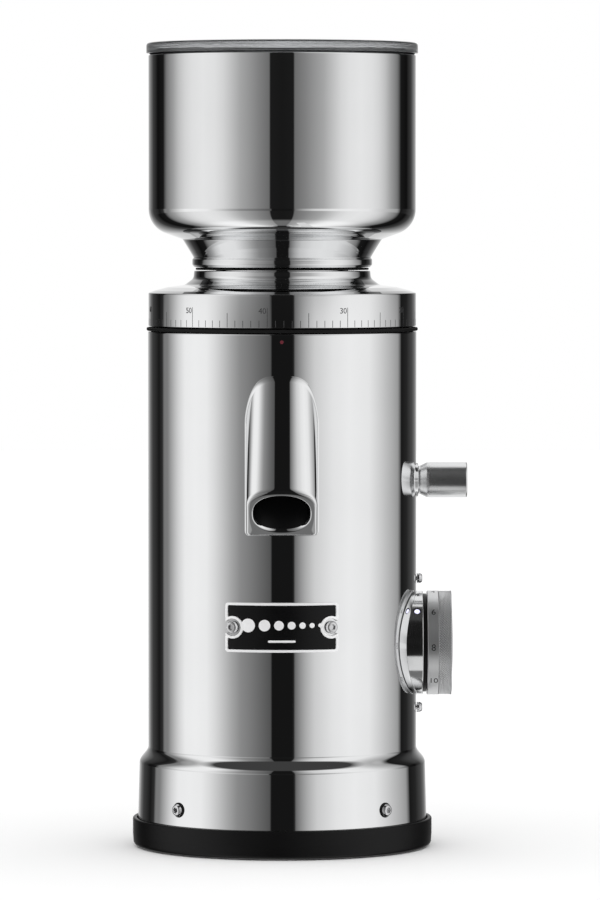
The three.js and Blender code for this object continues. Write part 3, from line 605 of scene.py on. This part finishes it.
def makeHopper():
    low = lowOf("hopper").z
    rim = highOf("hopper").z
    outer = highOf("hopper").x
    spigot = ring["throat"] - 0.3
    neckLow = highOf("hopper_seal").z + 0.3
    neck = 37.1
    wall = bowl["wall"]
    corner = bowl["curveCorner"]
    outside = [
        (spigot, low, 0.4), (spigot, neckLow, 0.3), (neck - 0.6, neckLow, 0.3),
        (neck + 0.3, neckLow + 1.0, 0.9),
        (neck + 0.3, neckLow + 3.2, 0.9), (neck - 0.3, neckLow + 4.0, 0.3),
        (bowl["funnelRadius"], bowl["funnelFoot"], 2.0), (bowl["neckCornerRadius"], bowl["neckCorner"], 1.5),
        (outer, corner, bowl["curve"]),
        (outer, rim, bowl["rim"]),
    ]
    inside = [
        (outer - wall, rim, bowl["rim"]), (outer - wall, corner + wall * 0.6, bowl["curve"] - wall),
        (bowl["neckCornerRadius"] - wall, bowl["neckCorner"] + wall, 1.5), (spigot - 2, neckLow + 2, 4),
        (spigot - 2, low, 0.4),
    ]
    cup = turned("hopperBowl", outside + inside, arcStep=5)
    given(cup, "hopper", "polished_steel", steel, "hopper")
    for name, node in (("hopperSeal", "hopper_seal"), ("lidSeal", "lid_seal")):
        below = lowOf(node).z
        above = highOf(node).z
        edge = highOf(node).x
        inner = edge - 3 if node == "lid_seal" else ring["throat"] + 1
        seal = turned(name, [(inner, below), (edge, below, 0.35), (edge, above, 0.35), (inner, above)])
        rider = "lid" if node == "lid_seal" else "hopper"
        given(seal, rider, "black_rubber", rubberBlack, node)


lid = {"rimRound": 1.3, "plugWall": 2.2, "plugGap": 2.0, "dish": 0.5, "lipUp": 0.2}


def makeLid():
    top = highOf("hopper_lid").z
    plugLow = lowOf("hopper_lid").z
    outer = highOf("hopper_lid").x
    under = highOf("lid_seal").z + 0.3
    sealEdge = highOf("lid_seal").x + 0.1
    lip = lowOf("lid_seal").z + lid["lipUp"]
    plug = highOf("hopper").x - bowl["wall"] - lid["plugGap"]
    inner = plug - lid["plugWall"]
    cover = turned("hopperLid", [
        (0, under), (inner, under, 0.8), (inner, plugLow, 0.6), (plug, plugLow, 0.6), (plug, under, 0.4),
        (sealEdge, under), (sealEdge, lip, 0.1), (outer, lip, 0.4), (outer, top, lid["rimRound"]),
        (outer - 4.5, top, 0.4),
        (outer - 5.5, top - lid["dish"], 0.4), (0, top - lid["dish"]),
    ])
    given(cover, "lid", "lid_glass", lidSmoke, "hopper_lid")


controls = {"line": 0, "dialRadius": 21.65, "housingFace": 58.5, 
    "lampAngle": 41, "lampRadius": 1.2, "lampRing": 0.45, "lampInset": 2.6}
makeBase()
makeShell()
makeRing()
makeHopper()
makeLid()
print("base, body, ring, hopper and lid made")


# A closed loop of rows, each a ring of points, on a torus remade point by point.
def loft(name, rows):
    around = len(rows[0])
    startAfresh()
    bpy.ops.mesh.primitive_torus_add(major_segments=len(rows), minor_segments=around,
        major_radius=20 * mm, minor_radius=5 * mm)
    piece = bpy.context.object
    piece.name = name
    for index, vertex in enumerate(piece.data.vertices):
        vertex.co = rows[index // around][index % around] * mm
    pickUp(piece)
    bpy.ops.object.mode_set(mode="EDIT")
    return tidyMesh(28)


# Spout: a wedge-shaped hood whose front slopes out to an open mouth.
spout = {"slope": 0.479, "halfWidth": 14.45, "depth": 18.2, "arch": 6.7, "archRoot": 4.3, "archPower": 2.3,
    "footUp": 1.0, "corner": 1.3, "fillet": 0.7, "filletLong": 0.3, "lip": 1.3, "rimLip": 0.35,
    "holeHalf": 11.7, "holeTop": 1.9, "holeFoot": 1.9, "holePower": 2.35, "liner": 0.3,
    "archSteps": 72, "cheekSteps": 16, "cornerSteps": 6, "footSteps": 32}


def makeSpout():
    radius = shell["tube"]
    slope = spout["slope"]
    top = highOf("spout").z + 0.6
    foot = lowOf("spout").z + spout["footUp"]
    lipReach = -lowOf("spout").y - radius
    lipDrop = lipReach / slope
    halfWidth = spout["halfWidth"]
    depth = spout["depth"]
    # the mouth's plane goes from the lip to the foot
    footDrop = top - foot
    footReach = slope * footDrop - depth
    lean = (lipReach - footReach) / (footDrop - lipDrop)

    def mouthDrop(behind):
        return (lipReach + lean * lipDrop + behind) / (slope + lean)

    def onHood(across, behind):
        drop = mouthDrop(behind)
        return Vector((across, -(radius + slope * drop - behind), top - drop))

    def onBody(across, level, standing):
        return Vector((across, -math.sqrt((radius + standing) ** 2 - across ** 2), level))

    # root: (across, level) on the body; mouth: (across, behind the ridge); point for point
    root = []
    mouth = []
    for step in range(spout["archSteps"] + 1):
        turn = math.pi * step / spout["archSteps"]
        across = -halfWidth * math.copysign(abs(math.cos(turn)) ** (2 / spout["archPower"]), math.cos(turn))
        behind = spout["arch"] * (1 - abs(math.sin(turn)) ** (2 / spout["archPower"]))
        sag = radius - math.sqrt(radius ** 2 - across ** 2)
        drop = (behind + spout["archRoot"] * math.cos(turn) ** 4 - sag) / slope
        root.append(Vector((across, top - drop)))
        mouth.append(Vector((across, behind)))
    corner = spout["corner"]
    rootEnd = root[-1].y
    right = []
    for step in range(1, spout["cheekSteps"] + 1):
        share = step / spout["cheekSteps"]
        right.append((Vector((halfWidth, rootEnd + (foot + corner - rootEnd) * share)),
            Vector((halfWidth, spout["arch"] + (depth - corner - spout["arch"]) * share))))
    for step in range(1, spout["cornerSteps"] + 1):
        turn = math.pi / 2 * step / spout["cornerSteps"]
        across = halfWidth - corner * (1 - math.cos(turn))
        sunk = corner * math.sin(turn)
        right.append((Vector((across, foot + corner - sunk)), Vector((across, depth - corner + sunk))))
    for step in range(1, spout["footSteps"]):
        across = (halfWidth - corner) * (1 - 2 * step / spout["footSteps"])
        right.append((Vector((across, foot)), Vector((across, depth))))
    left = [(Vector((-one.x, one.y)), Vector((-two.x, two.y))) for one, two in right]
    sides = right + list(reversed(left[:spout["cheekSteps"] + spout["cornerSteps"]]))
    root += [one for one, two in sides]
    mouth += [two for one, two in sides]
    around = len(root)

    outward = []
    for index in range(around):
        run = root[(index + 1) % around] - root[index - 1]
        outward.append(Vector((-run.y, run.x)).normalized())
    fronts = [onHood(*place) for place in mouth]
    rays = [(fronts[index] - onBody(*root[index], 0)).normalized() for index in range(around)]
    ruling = Vector((0, -slope, -1)).normalized()
    ridge = onHood(0, 0)
    mouthRun = onHood(0, depth) - ridge
    mouthDown = mouthRun.normalized()
    centre = ridge + mouthDown * (spout["holeTop"] + mouthRun.length - spout["holeFoot"]) / 2
    half = (mouthRun.length - spout["holeFoot"] - spout["holeTop"]) / 2

    def holeEdge(outer):
        # the hole's edge in the mouth's plane, straight in from the outer edge's own direction
        away = outer - centre
        down = away.dot(mouthDown)
        power = spout["holePower"]
        size = (abs(away.x / spout["holeHalf"]) ** power + abs(down / half) ** power) ** (1 / power)
        return centre + Vector((1, 0, 0)) * away.x / size + mouthDown * down / size

    rows = []
    arcs = 6

    def everyPoint(make):
        rows.append([make(index) for index in range(around)])

    # the hood's surface at a height over the body, pushed out by the fillet
    def onSide(index, standing, spread):
        start = onBody(*root[index], 0)
        rise = -rays[index].y
        place = start + rays[index] * standing / max(rise, 0.2)
        longer = 1 + spout["filletLong"] * max(outward[index].y, 0)
        across = place.x + outward[index].x * spread
        level = place.z + outward[index].y * spread * longer
        return onBody(across, level, standing)

    fillet = spout["fillet"]
    everyPoint(lambda index: onSide(index, -0.6, fillet))
    for step in range(arcs + 1):
        turn = math.pi / 2 * step / arcs
        everyPoint(lambda index, turn=turn:
            onSide(index, fillet * (1 - math.cos(turn)), fillet * (1 - math.sin(turn))))
    everyPoint(lambda index: onSide(index, fillet + 0.4, 0))
    # down the hood to the rounded lip
    lip = spout["lip"]

    def rimPoint(index, inset, back):
        outer = fronts[index]
        return outer + (holeEdge(outer) - outer).normalized() * inset - rays[index] * back

    everyPoint(lambda index: rimPoint(index, 0, lip + 0.6))
    for step in range(arcs + 1):
        turn = math.pi / 2 * step / arcs
        everyPoint(lambda index, turn=turn:
            rimPoint(index, lip * 0.8 * (1 - math.cos(turn)), lip * (1 - math.sin(turn))))

    def holePoint(index, outset, back):
        outer = fronts[index]
        edge = holeEdge(outer)
        return edge + (outer - edge).normalized() * outset - ruling * back

    rimLip = spout["rimLip"]
    everyPoint(lambda index: holePoint(index, 0.6, 0.0))
    for step in range(4):
        turn = math.pi / 2 * step / 3
        everyPoint(lambda index, turn=turn:
            holePoint(index, rimLip * (1 - math.sin(turn)), rimLip * (1 - math.cos(turn))))
    everyPoint(lambda index: holePoint(index, 0, 1.0))
    everyPoint(lambda index: holePoint(index, 0, 6.0))

    def insideEnd(index, standing, outset=0):
        edge = holePoint(index, outset, 0)
        reach = math.sqrt((radius + standing) ** 2 - edge.x ** 2)
        distance = (-edge.y - reach) / -ruling.y
        return edge - ruling * max(distance, 7.0)

    everyPoint(lambda index: insideEnd(index, 0.4))
    everyPoint(lambda index: insideEnd(index, -0.6))
    given(loft("spoutHood", rows), "housing", "polished_steel", steel, "spout")
    # a dark sleeve just inside the passage
    rows.clear()
    liner = spout["liner"]
    everyPoint(lambda index: holePoint(index, -0.05, 1.2))
    everyPoint(lambda index: holePoint(index, -liner, 1.2))
    everyPoint(lambda index: holePoint(index, -liner, 6.0))
    everyPoint(lambda index: insideEnd(index, 0.6, -liner))
    everyPoint(lambda index: insideEnd(index, 0.6, -0.05))
    everyPoint(lambda index: holePoint(index, -0.05, 6.0))
    given(loft("spoutLiner", rows), "housing", "black_plastic", plasticBlack)


makeSpout()
print("spout made")


# Nameplate: enamelled plate in a raised frame, with a coarse-to-fine row of dots.
plate = {"width": 46.4, "height": 20.2, "corner": 1.2, "notch": 3.6, "frameWidth": 1.05,
    "frameProud": 1.0, "facePro": 0.55, "slice": 1.6, "dots": (5.6, 4.7, 3.9, 3.2, 2.6, 2.1, 1.7),
    "dotGap": 1.5, "dotProud": 0.32, "dotLevel": 0.9, "barWidth": 11.0, "barHeight": 0.9, "barLevel": -5.6}


def plateOutline(inset):
    halfWidth = plate["width"] / 2 - inset
    halfHeight = plate["height"] / 2 - inset
    notch = plate["notch"] + inset
    side = plate["width"] / 2 - 3.0  # centre of each notch
    mouth = math.sqrt(notch ** 2 - (halfWidth - side) ** 2)
    bite = []
    start = math.atan2(mouth, halfWidth - side)
    for step in range(13):
        turn = start + (2 * math.pi - 2 * start) * step / 12
        bite.append((side + notch * math.cos(turn), notch * math.sin(turn)))
    corner = max(plate["corner"] - inset * 0.5, 0.3)
    right = [(halfWidth, halfHeight, corner), (halfWidth, mouth, 0.4), *bite[1:-1], (halfWidth, -mouth, 0.4),
        (halfWidth, -halfHeight, corner)]
    left = [(-place[0], -place[1], *place[2:]) for place in right]
    return rounded(right + left, closed=True, arcStep=18, hold=0.1)


def makeNameplate():
    radius = shell["tube"]
    level = (lowOf("nameplate").z + highOf("nameplate").z) / 2
    face = sliced(plateFrom("plateFace", plateOutline(plate["frameWidth"] * 0.6), plate["facePro"] + 0.5),
        plate["slice"])
    wrapped(face, radius - 0.2, level)
    given(face, "housing", "plate_enamel", plateBlack, "nameplate")
    frameTool = plateFrom("tool", plateOutline(plate["frameWidth"]), 4)
    placed(frameTool, Matrix.Translation((0, 0, -1 * mm)))
    border = plateFrom("plateFrame", plateOutline(0), plate["frameProud"] + 0.5)
    cutWith(border, frameTool)
    softenEdges(border, 0.22, 50, 2)
    sliced(border, plate["slice"])
    wrapped(border, radius - 0.2, level)
    # the frame's near-white colour is a painted highlight rather than a reflection
    given(border, "housing", "screw_steel", plateTrimPaintedHighlight)
    total = sum(plate["dots"]) + plate["dotGap"] * (len(plate["dots"]) - 1)
    across = -total / 2
    motif = []
    for diameter in plate["dots"]:
        across += diameter / 2
        dot = turned("plateDot", [(0, 0), (diameter / 2, 0), (diameter / 2, plate["dotProud"] + 0.4, 0.18),
            (0, plate["dotProud"] + 0.4)], 40)
        placed(dot, Matrix.Translation((across * mm, plate["dotLevel"] * mm, (plate["facePro"] + 0.1) * mm)))
        motif.append(dot)
        across += diameter / 2 + plate["dotGap"]
    half = plate["barWidth"] / 2
    up = plate["barHeight"] / 2
    corners = ((half, up), (half, -up), (-half, -up), (-half, up))
    barOutline = rounded([(*corner, up * 0.9) for corner in corners], closed=True, hold=0.1)
    stripe = plateFrom("plateBar", barOutline, plate["dotProud"] + 0.4)
    placed(stripe, Matrix.Translation((0, plate["barLevel"] * mm, (plate["facePro"] + 0.1) * mm)))
    motif.append(stripe)
    design = sliced(joined("plateMotif", motif), 1.0)
    wrapped(design, radius - 0.2, level)
    # the dots and bar share the frame's painted-highlight paint
    given(design, "housing", "screw_steel", plateTrimPaintedHighlight)


# Screws: round heads with a six-sided socket.
screwSizes = {
    "plate": {"head": 2.6, "proud": 1.7, "socket": 1.25, "depth": 1.1, "ring": 0},
    "skirt": {"head": 2.55, "proud": 2.0, "socket": 1.3, "depth": 1.2, "ring": 0.55},
    "dial": {"head": 2.15, "proud": 2.2, "socket": 1.05, "depth": 1.2, "ring": 0},
}


def screwHead(size):
    head = size["head"]
    proud = size["proud"]
    made = turned("screwHead", [(0, -1.0), (head * 0.5, -1.0), (head * 0.5, 0), (head, 0, 0.15),
        (head, proud * 0.45, 0.5), (head * 0.78, proud * 0.93, 0.6), (size["socket"] * 1.15, proud, 0.25),
        (0, proud)], 48)
    tool = barTool(size["socket"], proud - size["depth"], proud + 1, 6)
    cutWith(made, tool)
    softenEdges(made, 0.07, 45, 2)
    return smooth(made, 30)


def copyOf(piece, name):
    copied = piece.copy()
    copied.data = piece.data.copy()
    copied.name = name
    bpy.context.collection.objects.link(copied)
    return copied


def makeScrews():
    masters = {kind: screwHead(size) for kind, size in screwSizes.items()}
    plateSeat = shell["tube"] + 0.35
    for side, node in ((-1, "nameplate_screw_left"), (1, "nameplate_screw_right")):
        middle = (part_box(node)[0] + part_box(node)[1]) / 2 / mm
        angle = math.degrees(math.atan2(middle.x, -middle.y))
        screw = copyOf(masters["plate"], "plateScrew")
        placed(screw, Matrix.Translation((0, 0, plateSeat * mm)))
        placed(screw, Matrix.Rotation(0.4 + side, 4, "Z"))
        given(radial(screw, angle, middle.z), "housing", "screw_steel", screwSteel, node)
    skirt = screwSizes["skirt"]
    for index in range(1, 5):
        node = f"skirt_screw_{index}"
        middle = (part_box(node)[0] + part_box(node)[1]) / 2 / mm
        angle = math.degrees(math.atan2(middle.x, -middle.y))
        share = (middle.z - lowOf("outer_body").z) / (shell["skirtTop"] - lowOf("outer_body").z)
        seat = highOf("outer_body").x + (shell["skirtTopRadius"] - highOf("outer_body").x) * share
        screw = copyOf(masters["skirt"], "skirtScrew")
        placed(screw, Matrix.Translation((0, 0, seat * mm)) @ Matrix.Rotation(index * 1.3, 4, "Z"))
        given(radial(screw, angle, middle.z), "housing", "screw_steel", screwSteel, node)
        wide = skirt["head"] + skirt["ring"]
        washer = turned("skirtWasher", [(skirt["head"] - 0.8, seat - 0.6), (wide, seat - 0.6),
            (wide, seat + 0.35, 0.25), (skirt["head"] - 0.8, seat + 0.35)], 48)
        given(radial(washer, angle, middle.z), "housing", "black_rubber", rubberBlack)
    for node in ("dial_screw_upper", "dial_screw_lower"):
        middle = (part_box(node)[0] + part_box(node)[1]) / 2 / mm
        screw = copyOf(masters["dial"], "dialScrew")
        seat = highOf(node).x - screwSizes["dial"]["proud"]
        placed(screw, Matrix.Translation((0, 0, seat * mm)))
        given(sideways(screw, middle.z), "housing", "screw_steel", screwSteel, node)
    for master in masters.values():
        bpy.data.objects.remove(master)


makeNameplate()
makeScrews()
print("nameplate and screws made")


# Dial: silver drum with a lamp, dark gap, and a knob with numbers and a diamond knurl.
knob = {"bandEnd": 4.6, "knurlEnd": 9.9, "knurlPitch": 1.1, "knurlDepth": 0.6, "pitches": 124,
    "dome": 0.7, "boreRadius": 6.5, "numberHeight": 2.75, "numberPitch": 41.2, "sixAngle": 39.3,
    "numberDepth": 0.3, "numberProud": 0.015}


def makeDial():
    level = (lowOf("dial_knob").z + highOf("dial_knob").z) / 2
    radius = controls["dialRadius"]
    face = controls["housingFace"]
    tube = shell["tube"]
    bodyTool = barTool(tube + 0.04, level - 40, level + 40, roundSteps)
    drum = sideways(turned("dialDrum", [(knob["boreRadius"], tube - 11), (radius, tube - 11),
        (radius, face, 0.35), (knob["boreRadius"], face, 0.3)]), level)
    cutWith(drum, bodyTool)
    lampLevel = Matrix.Translation(((face - controls["lampInset"]) * mm, controls["line"] * mm, level * mm))
    lampAim = lampLevel @ Matrix.Rotation(math.radians(90 - controls["lampAngle"]), 4, "X")
    lampHole = controls["lampRadius"] + controls["lampRing"]
    cutWith(drum, placed(barTool(lampHole, radius - 4, radius + 4, 32), lampAim))
    smooth(drum)
    given(drum, "housing", "dial_aluminium", satinAluminium, "dial_housing")
    surroundInner = controls["lampRadius"] + 0.05
    surroundOuter = lampHole - 0.03
    surround = turned("lampSurround", [(surroundInner, radius - 3.5), (surroundOuter, radius - 3.5),
        (surroundOuter, radius - 0.12, 0.1), (surroundInner, radius - 0.12, 0.1)], 40)
    given(placed(surround, lampAim), "housing", "black_plastic", plasticBlack)
    lens = turned("lampLens", [(0, radius - 3), (controls["lampRadius"], radius - 3),
        (controls["lampRadius"], radius - 0.2, 0.35), (0, radius + 0.08)], 40)
    given(placed(lens, lampAim), "housing", "lamp_lens", lampGlow, "lamp_lens")
    spacerLow = lowOf("dial_spacer").x
    spacerHigh = highOf("dial_spacer").x
    spacerOuter = (highOf("dial_spacer").z - lowOf("dial_spacer").z) / 2
    spacer = turned("dialSpacer", [(knob["boreRadius"], spacerLow - 0.2), (spacerOuter, spacerLow - 0.2, 0.1),
        (spacerOuter, spacerHigh, 0.1), (knob["boreRadius"], spacerHigh)])
    given(sideways(spacer, level), "housing", "black_plastic", plasticBlack, "dial_spacer")
    makeKnob(level)


def makeKnob(level):
    radius = controls["dialRadius"]
    low = lowOf("dial_knob").x
    high = highOf("dial_knob").x
    start = low + knob["bandEnd"]
    end = low + knob["knurlEnd"]
    quarter = knob["knurlPitch"] / 4
    rowCount = round((end - start) / quarter)
    knurlRows = [(radius, start + (end - start) * index / rowCount) for index in range(rowCount + 1)]
    turnedKnob = turned("dialKnob", [
        (0, low + 4), (3.3, low + 4), (3.3, low, 0.3), (radius, low, 0.4), *knurlRows,
        (radius - 0.1, end + 0.25), (radius - 0.15, high - knob["dome"] - 0.15, 0.35),
        (radius - 1.0, high - knob["dome"] + 0.1, 0.5),
        (radius * 0.5, high - 0.12, 30), (0, high),
    ], knob["pitches"] * 4, 15)
    margin = quarter * 0.5
    for vertex in turnedKnob.data.vertices:
        reach = math.hypot(vertex.co.x, vertex.co.y) / mm
        height = vertex.co.z / mm
        if reach < radius - 0.05 or not start + margin < height < end - margin:
            continue
        around = math.atan2(vertex.co.y, vertex.co.x) / math.tau * knob["pitches"]
        along = (height - start) / knob["knurlPitch"]
        peaks = [abs(((value % 1) - 0.5) * 2) for value in (around + along, around - along)]
        sink = 1 - knob["knurlDepth"] / radius * (1 - min(peaks))
        vertex.co.x *= sink
        vertex.co.y *= sink
    smooth(turnedKnob, 24)
    given(sideways(turnedKnob, level), "dial", "dial_aluminium", knobAluminium, "dial_knob")
    numbers = []
    for number in range(2, 12, 2):
        label = wordMesh(str(number), knob["numberHeight"], knob["numberDepth"])
        angle = knob["sixAngle"] - (number - 6) / 2 * knob["numberPitch"]
        stand = Matrix.Rotation(math.pi / 2, 4, "X")
        reach = radius + knob["numberProud"] - knob["numberDepth"] / 2
        placed(label, Matrix.Translation((0, -reach * mm, 0)) @ stand)
        placed(label, Matrix.Rotation(math.radians(-angle), 4, "X"))
        placed(label, Matrix.Translation(((low + 2.5) * mm, controls["line"] * mm, level * mm)))
        numbers.append(label)
    given(joined("dialNumbers", numbers), "dial", "black_plastic", engraving)


# Lever: a turned grip out of a low domed bezel.
leverShape = {"shaft": 4.0, "neck": 5.75, "grip": 7.35, "coneStart": 57.0, "coneEnd": 60.2,
    "tipEdge": 0.55, "faceDish": 0.25, "gap": 0.65}


def makeLever():
    level = (lowOf("lever_bezel").z + highOf("lever_bezel").z) / 2
    tube = shell["tube"]
    bezelFace = highOf("lever_bezel").x
    bezelOuter = (highOf("lever_bezel").z - lowOf("lever_bezel").z) / 2
    hole = leverShape["neck"] + leverShape["gap"]
    bezel = sideways(turned("leverBezel", [(hole, tube - 6), (bezelOuter, tube - 6),
        (bezelOuter, tube - 2.2, 0.4), (hole + 0.5, bezelFace, 0.3), (hole, bezelFace - 0.4, 0.2)],
        smallSteps), level)
    cutWith(bezel, barTool(tube + 0.02, level - 20, level + 20, roundSteps))
    smooth(bezel)
    given(bezel, "housing", "polished_steel", steel, "lever_bezel")
    inner = lowOf("lever").x
    tip = highOf("lever").x
    grip = leverShape["grip"]
    shaft = leverShape["shaft"]
    neck = leverShape["neck"]
    coneStart = leverShape["coneStart"]
    coneEnd = leverShape["coneEnd"]
    stick = turned("leverGrip", [
        (0, inner), (shaft, inner, 0.3), (shaft, coneStart - 1.2), (neck, coneStart - 0.8, 0.3),
        (neck + 0.15, coneStart + 0.4, 0.5), (grip - 0.1, coneEnd, 1.2), (grip, coneEnd + 1.0, 0.8),
        (grip, tip, leverShape["tipEdge"]), (grip - 1.6, tip, 0.3),
        (grip - 2.1, tip - leverShape["faceDish"], 0.3), (0, tip - leverShape["faceDish"]),
    ], smallSteps)
    given(sideways(stick, level), "lever", "polished_steel", leverSteel, "lever")


# Cable gland at the back.
gland = {"bore": 3.8, "collar": 8.0, "neck": 6.2, "proud": 2.0}


def makeGland():
    middle = (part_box("cable_gland")[0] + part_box("cable_gland")[1]) / 2 / mm
    reach = highOf("cable_gland").y
    face = reach - gland["proud"]
    steps = [(gland["bore"], face - 4, 0.2), (gland["neck"], face - 4, 0.2), (gland["neck"], face - 0.6),
        (gland["collar"], face - 0.6, 0.2), (gland["collar"], reach - 0.3, 0.7), (gland["neck"], reach, 0.5)]
    steps += [(gland["bore"] + 0.4, reach, 0.4), (gland["bore"], reach - 1.0, 0.3)]
    piece = turned("cableGland", steps, smallSteps)
    given(radial(piece, 180, middle.z), "housing", "black_rubber", rubberBlack, "cable_gland")


makeDial()
makeLever()
makeGland()
print("dial, lever and gland made")


# What is inside keeps its CAD shape and gets a finish.
insideFinishes = {
    "machine_steel": machineSteel, "cast_aluminium": castAluminium, "brass": brass,
    "circuit_board": boardGreen, "black_plastic": plasticBlack, "black_rubber": rubberBlack,
    "polished_steel": steel, "screw_steel": screwSteel, "dial_aluminium": satinAluminium,
}
insideNodes = {
    "machine_steel": ["dial_shaft", "dial_bracket", "lever_pin", "lever_bracket", "motor_rotor",
        "motor_pinion", "motor_can", "lower_bearing", "upper_bearing", "main_gear", "spindle",
        "lower_burr", "upper_burr", "burr_nut", "pillar_1", "pillar_2", "pillar_3", "pillar_4",
        "motor_deck"],
    "cast_aluminium": ["gear_case", "gear_cover", "grinding_chamber", "burr_carrier"],
    "brass": ["upper_burr_carrier"],
    "circuit_board": ["control_board"],
    "black_plastic": ["dial_sensor", "lever_switch", "power_supply", "motor_cap", "exit_chute"],
}
for slotName, nodes in insideNodes.items():
    for node in nodes:
        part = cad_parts[node]
        part.data.materials.clear()
        part.data.materials.append(insideFinishes[slotName])
print("inside parts finished")


# Studio: pale floor, white backdrop, and a world whose brightness changes with direction.
# Brightness round the horizon from the front, in degrees, as seen in the polished body and bowl.
studio = {
    "bodyBands": [(-180, 1), (-172, .62), (-164, .42), (-156, .16), (-148, .05), (-132, .01),
        (-125, .03), (-122, .2), (-116, .22), (-108, .46), (-100, .72), (-92, .92), (-80, .95),
        (-68, .92), (-60, .78), (-52, .6), (-44, .42), (-36, .28), (-20, .16), (-9.2, .09),
        (-8.6, .008), (9.8, .008), (10.4, .14), (20, .45), (28, .67), (44, .86), (60, .93), (80, .88),
        (100, .58), (118, .35), (124, .01), (180, 1)],
    "bowlBands": [(0, .01), (10, .012), (10.8, .16), (20, .24), (36, .42), (44, .58), (52, .74),
        (60, .83), (72, .87), (84, .82), (92, .73), (100, .58), (108, .37), (118, .2), (124, .01),
        (136, .005), (148, .05), (156, .18), (164, .34), (172, .58), (180, 1)],
    "rearRight": [(0, .01), (.2, .02), (.45, .07), (.62, .17), (.78, .42), (.9, .62), (1, 1)],
    "floorLift": 0.15, "frontRoof": 0.05, "rearRoof": 0.9, "diffuseBright": 1.32, "floorShade": 0.86,
    "cardBright": 0.75,
}


def makeWorld():
    world = bpy.data.worlds.new("studio")
    bpy.context.scene.world = world
    light = Finish(world)
    spot = light.node("ShaderNodeTexCoord", output="Generated")
    split = light.node("ShaderNodeSeparateXYZ", inputs={0: spot})
    axes = [Value(light, socket) for socket in split.socket.node.outputs]
    turn = light.node("ShaderNodeMath", {"operation": "ARCTAN2"}, {0: axes[0], 1: axes[1] * -1.0})
    degrees = turn * math.degrees(1)
    rise = light.node("ShaderNodeMath", {"operation": "ARCSINE"}, {0: axes[2]}) * math.degrees(1)

    def ramp(place, stops, low, high):
        scaled = [((angle - low) / (high - low), shade) for angle, shade in stops]
        share = (place - low) / (high - low)
        return light.node("ShaderNodeValToRGB", {"stops": scaled}, {0: share})

    front = ramp(degrees, studio["bodyBands"], -180, 180)
    rear = ramp(degrees, [(124 + place * 56, shade) for place, shade in studio["rearRight"]], 124, 180)
    body = light.blend(light.spread(degrees, 0, 1, 123.9, 124.1), front, rear)
    away = light.node("ShaderNodeMath", {"operation": "ABSOLUTE"}, {0: degrees})
    bowlLight = ramp(away, studio["bowlBands"], 0, 180)
    bowlShare = light.spread(rise, 0, 1, -1.1, -0.3) + light.spread(rise, 1, 0, -9, -7)
    bowlShare = bowlShare * light.spread(rise, 1, 0, 9, 16)
    bands = light.blend(bowlShare, body, bowlLight)
    bands = bands + light.spread(rise, studio["floorLift"], 0, -55, -45)
    frontShare = light.spread(rise, 0, 1, 50, 57) * light.spread(away, 1, 0, 95, 120)
    bands = light.blend(frontShare, bands, tone(*[studio["frontRoof"]] * 3))
    rearShare = light.spread(rise, 0, 1, 40, 46) * light.spread(away, 0, 1, 110, 130)
    bands = light.blend(rearShare, bands, tone(*[studio["rearRoof"]] * 3))
    ray = light.node("ShaderNodeLightPath")
    rays = ray.socket.node.outputs
    seen = light.blend(Value(light, rays["Is Diffuse Ray"]), bands, tone(*[studio["diffuseBright"]] * 3))
    seen = light.blend(Value(light, rays["Is Camera Ray"]), seen, tone(1, 1, 1))
    light.fill(light.tree.nodes["Background"], {"Color": seen, "Strength": 1.0})


def makeFloor():
    startAfresh()
    bpy.ops.mesh.primitive_plane_add(size=8, location=(0, 0, 0))
    floor = bpy.context.object
    floor.name = "floor"
    paper = newFinish("floorPaper")
    cloud = paper.noise(paper.place(), 2.0, 2)
    shade = studio["floorShade"]
    colour = paper.blend(paper.spread(cloud, 0, 1), tone(*[shade] * 3), tone(*[shade * 1.01] * 3))
    paper.shade(base_color=colour, roughness=0.9, specular_ior_level=0.0)
    floor.data.materials.append(paper.holder)
    floor.visible_glossy = False


# A pale card on the floor that only the polished parts see, under the dial and the lever.
card = {"across": 67, "front": -120, "up": 0.5, "width": 32, "length": 120}


def makeCard():
    startAfresh()
    middle = (card["across"] * mm, card["front"] * mm, card["up"] * mm)
    bpy.ops.mesh.primitive_plane_add(size=1, location=middle)
    sheet = bpy.context.object
    sheet.name = "card"
    bpy.ops.transform.resize(value=(card["width"] * mm, card["length"] * mm, 1), center_override=middle)
    paper = newFinish("cardPaper")
    cloud = paper.noise(paper.place(), 2.0, 2)
    shade = studio["cardBright"]
    paper.shade(base_color=tone(0, 0, 0), specular_ior_level=0.0, emission_strength=1.0,
        emission_color=paper.blend(paper.spread(cloud, 0, 1), tone(shade, shade, shade),
            tone(shade * 0.97, shade * 0.97, shade * 0.97)))
    sheet.data.materials.append(paper.holder)
    sheet.visible_camera = False
    sheet.visible_diffuse = False
    sheet.visible_shadow = False


camera = {"distance": 2450, "height": 265, "aside": 7.4, "pitch": 2.34, "lens": 235.6}


def makeCamera():
    stand = (camera["aside"] * mm, -camera["distance"] * mm, camera["height"] * mm)
    bpy.ops.object.camera_add(location=stand, rotation=(math.radians(90 - camera["pitch"]), 0, 0))
    eye = bpy.context.object
    eye.data.sensor_width = 36
    eye.data.lens = camera["lens"]
    eye.data.clip_end = 20
    bpy.context.scene.camera = eye


startAfresh()
makeWorld()
makeFloor()
makeCard()
makeCamera()
bpy.context.scene.view_settings.view_transform = "Standard"
print("studio made")
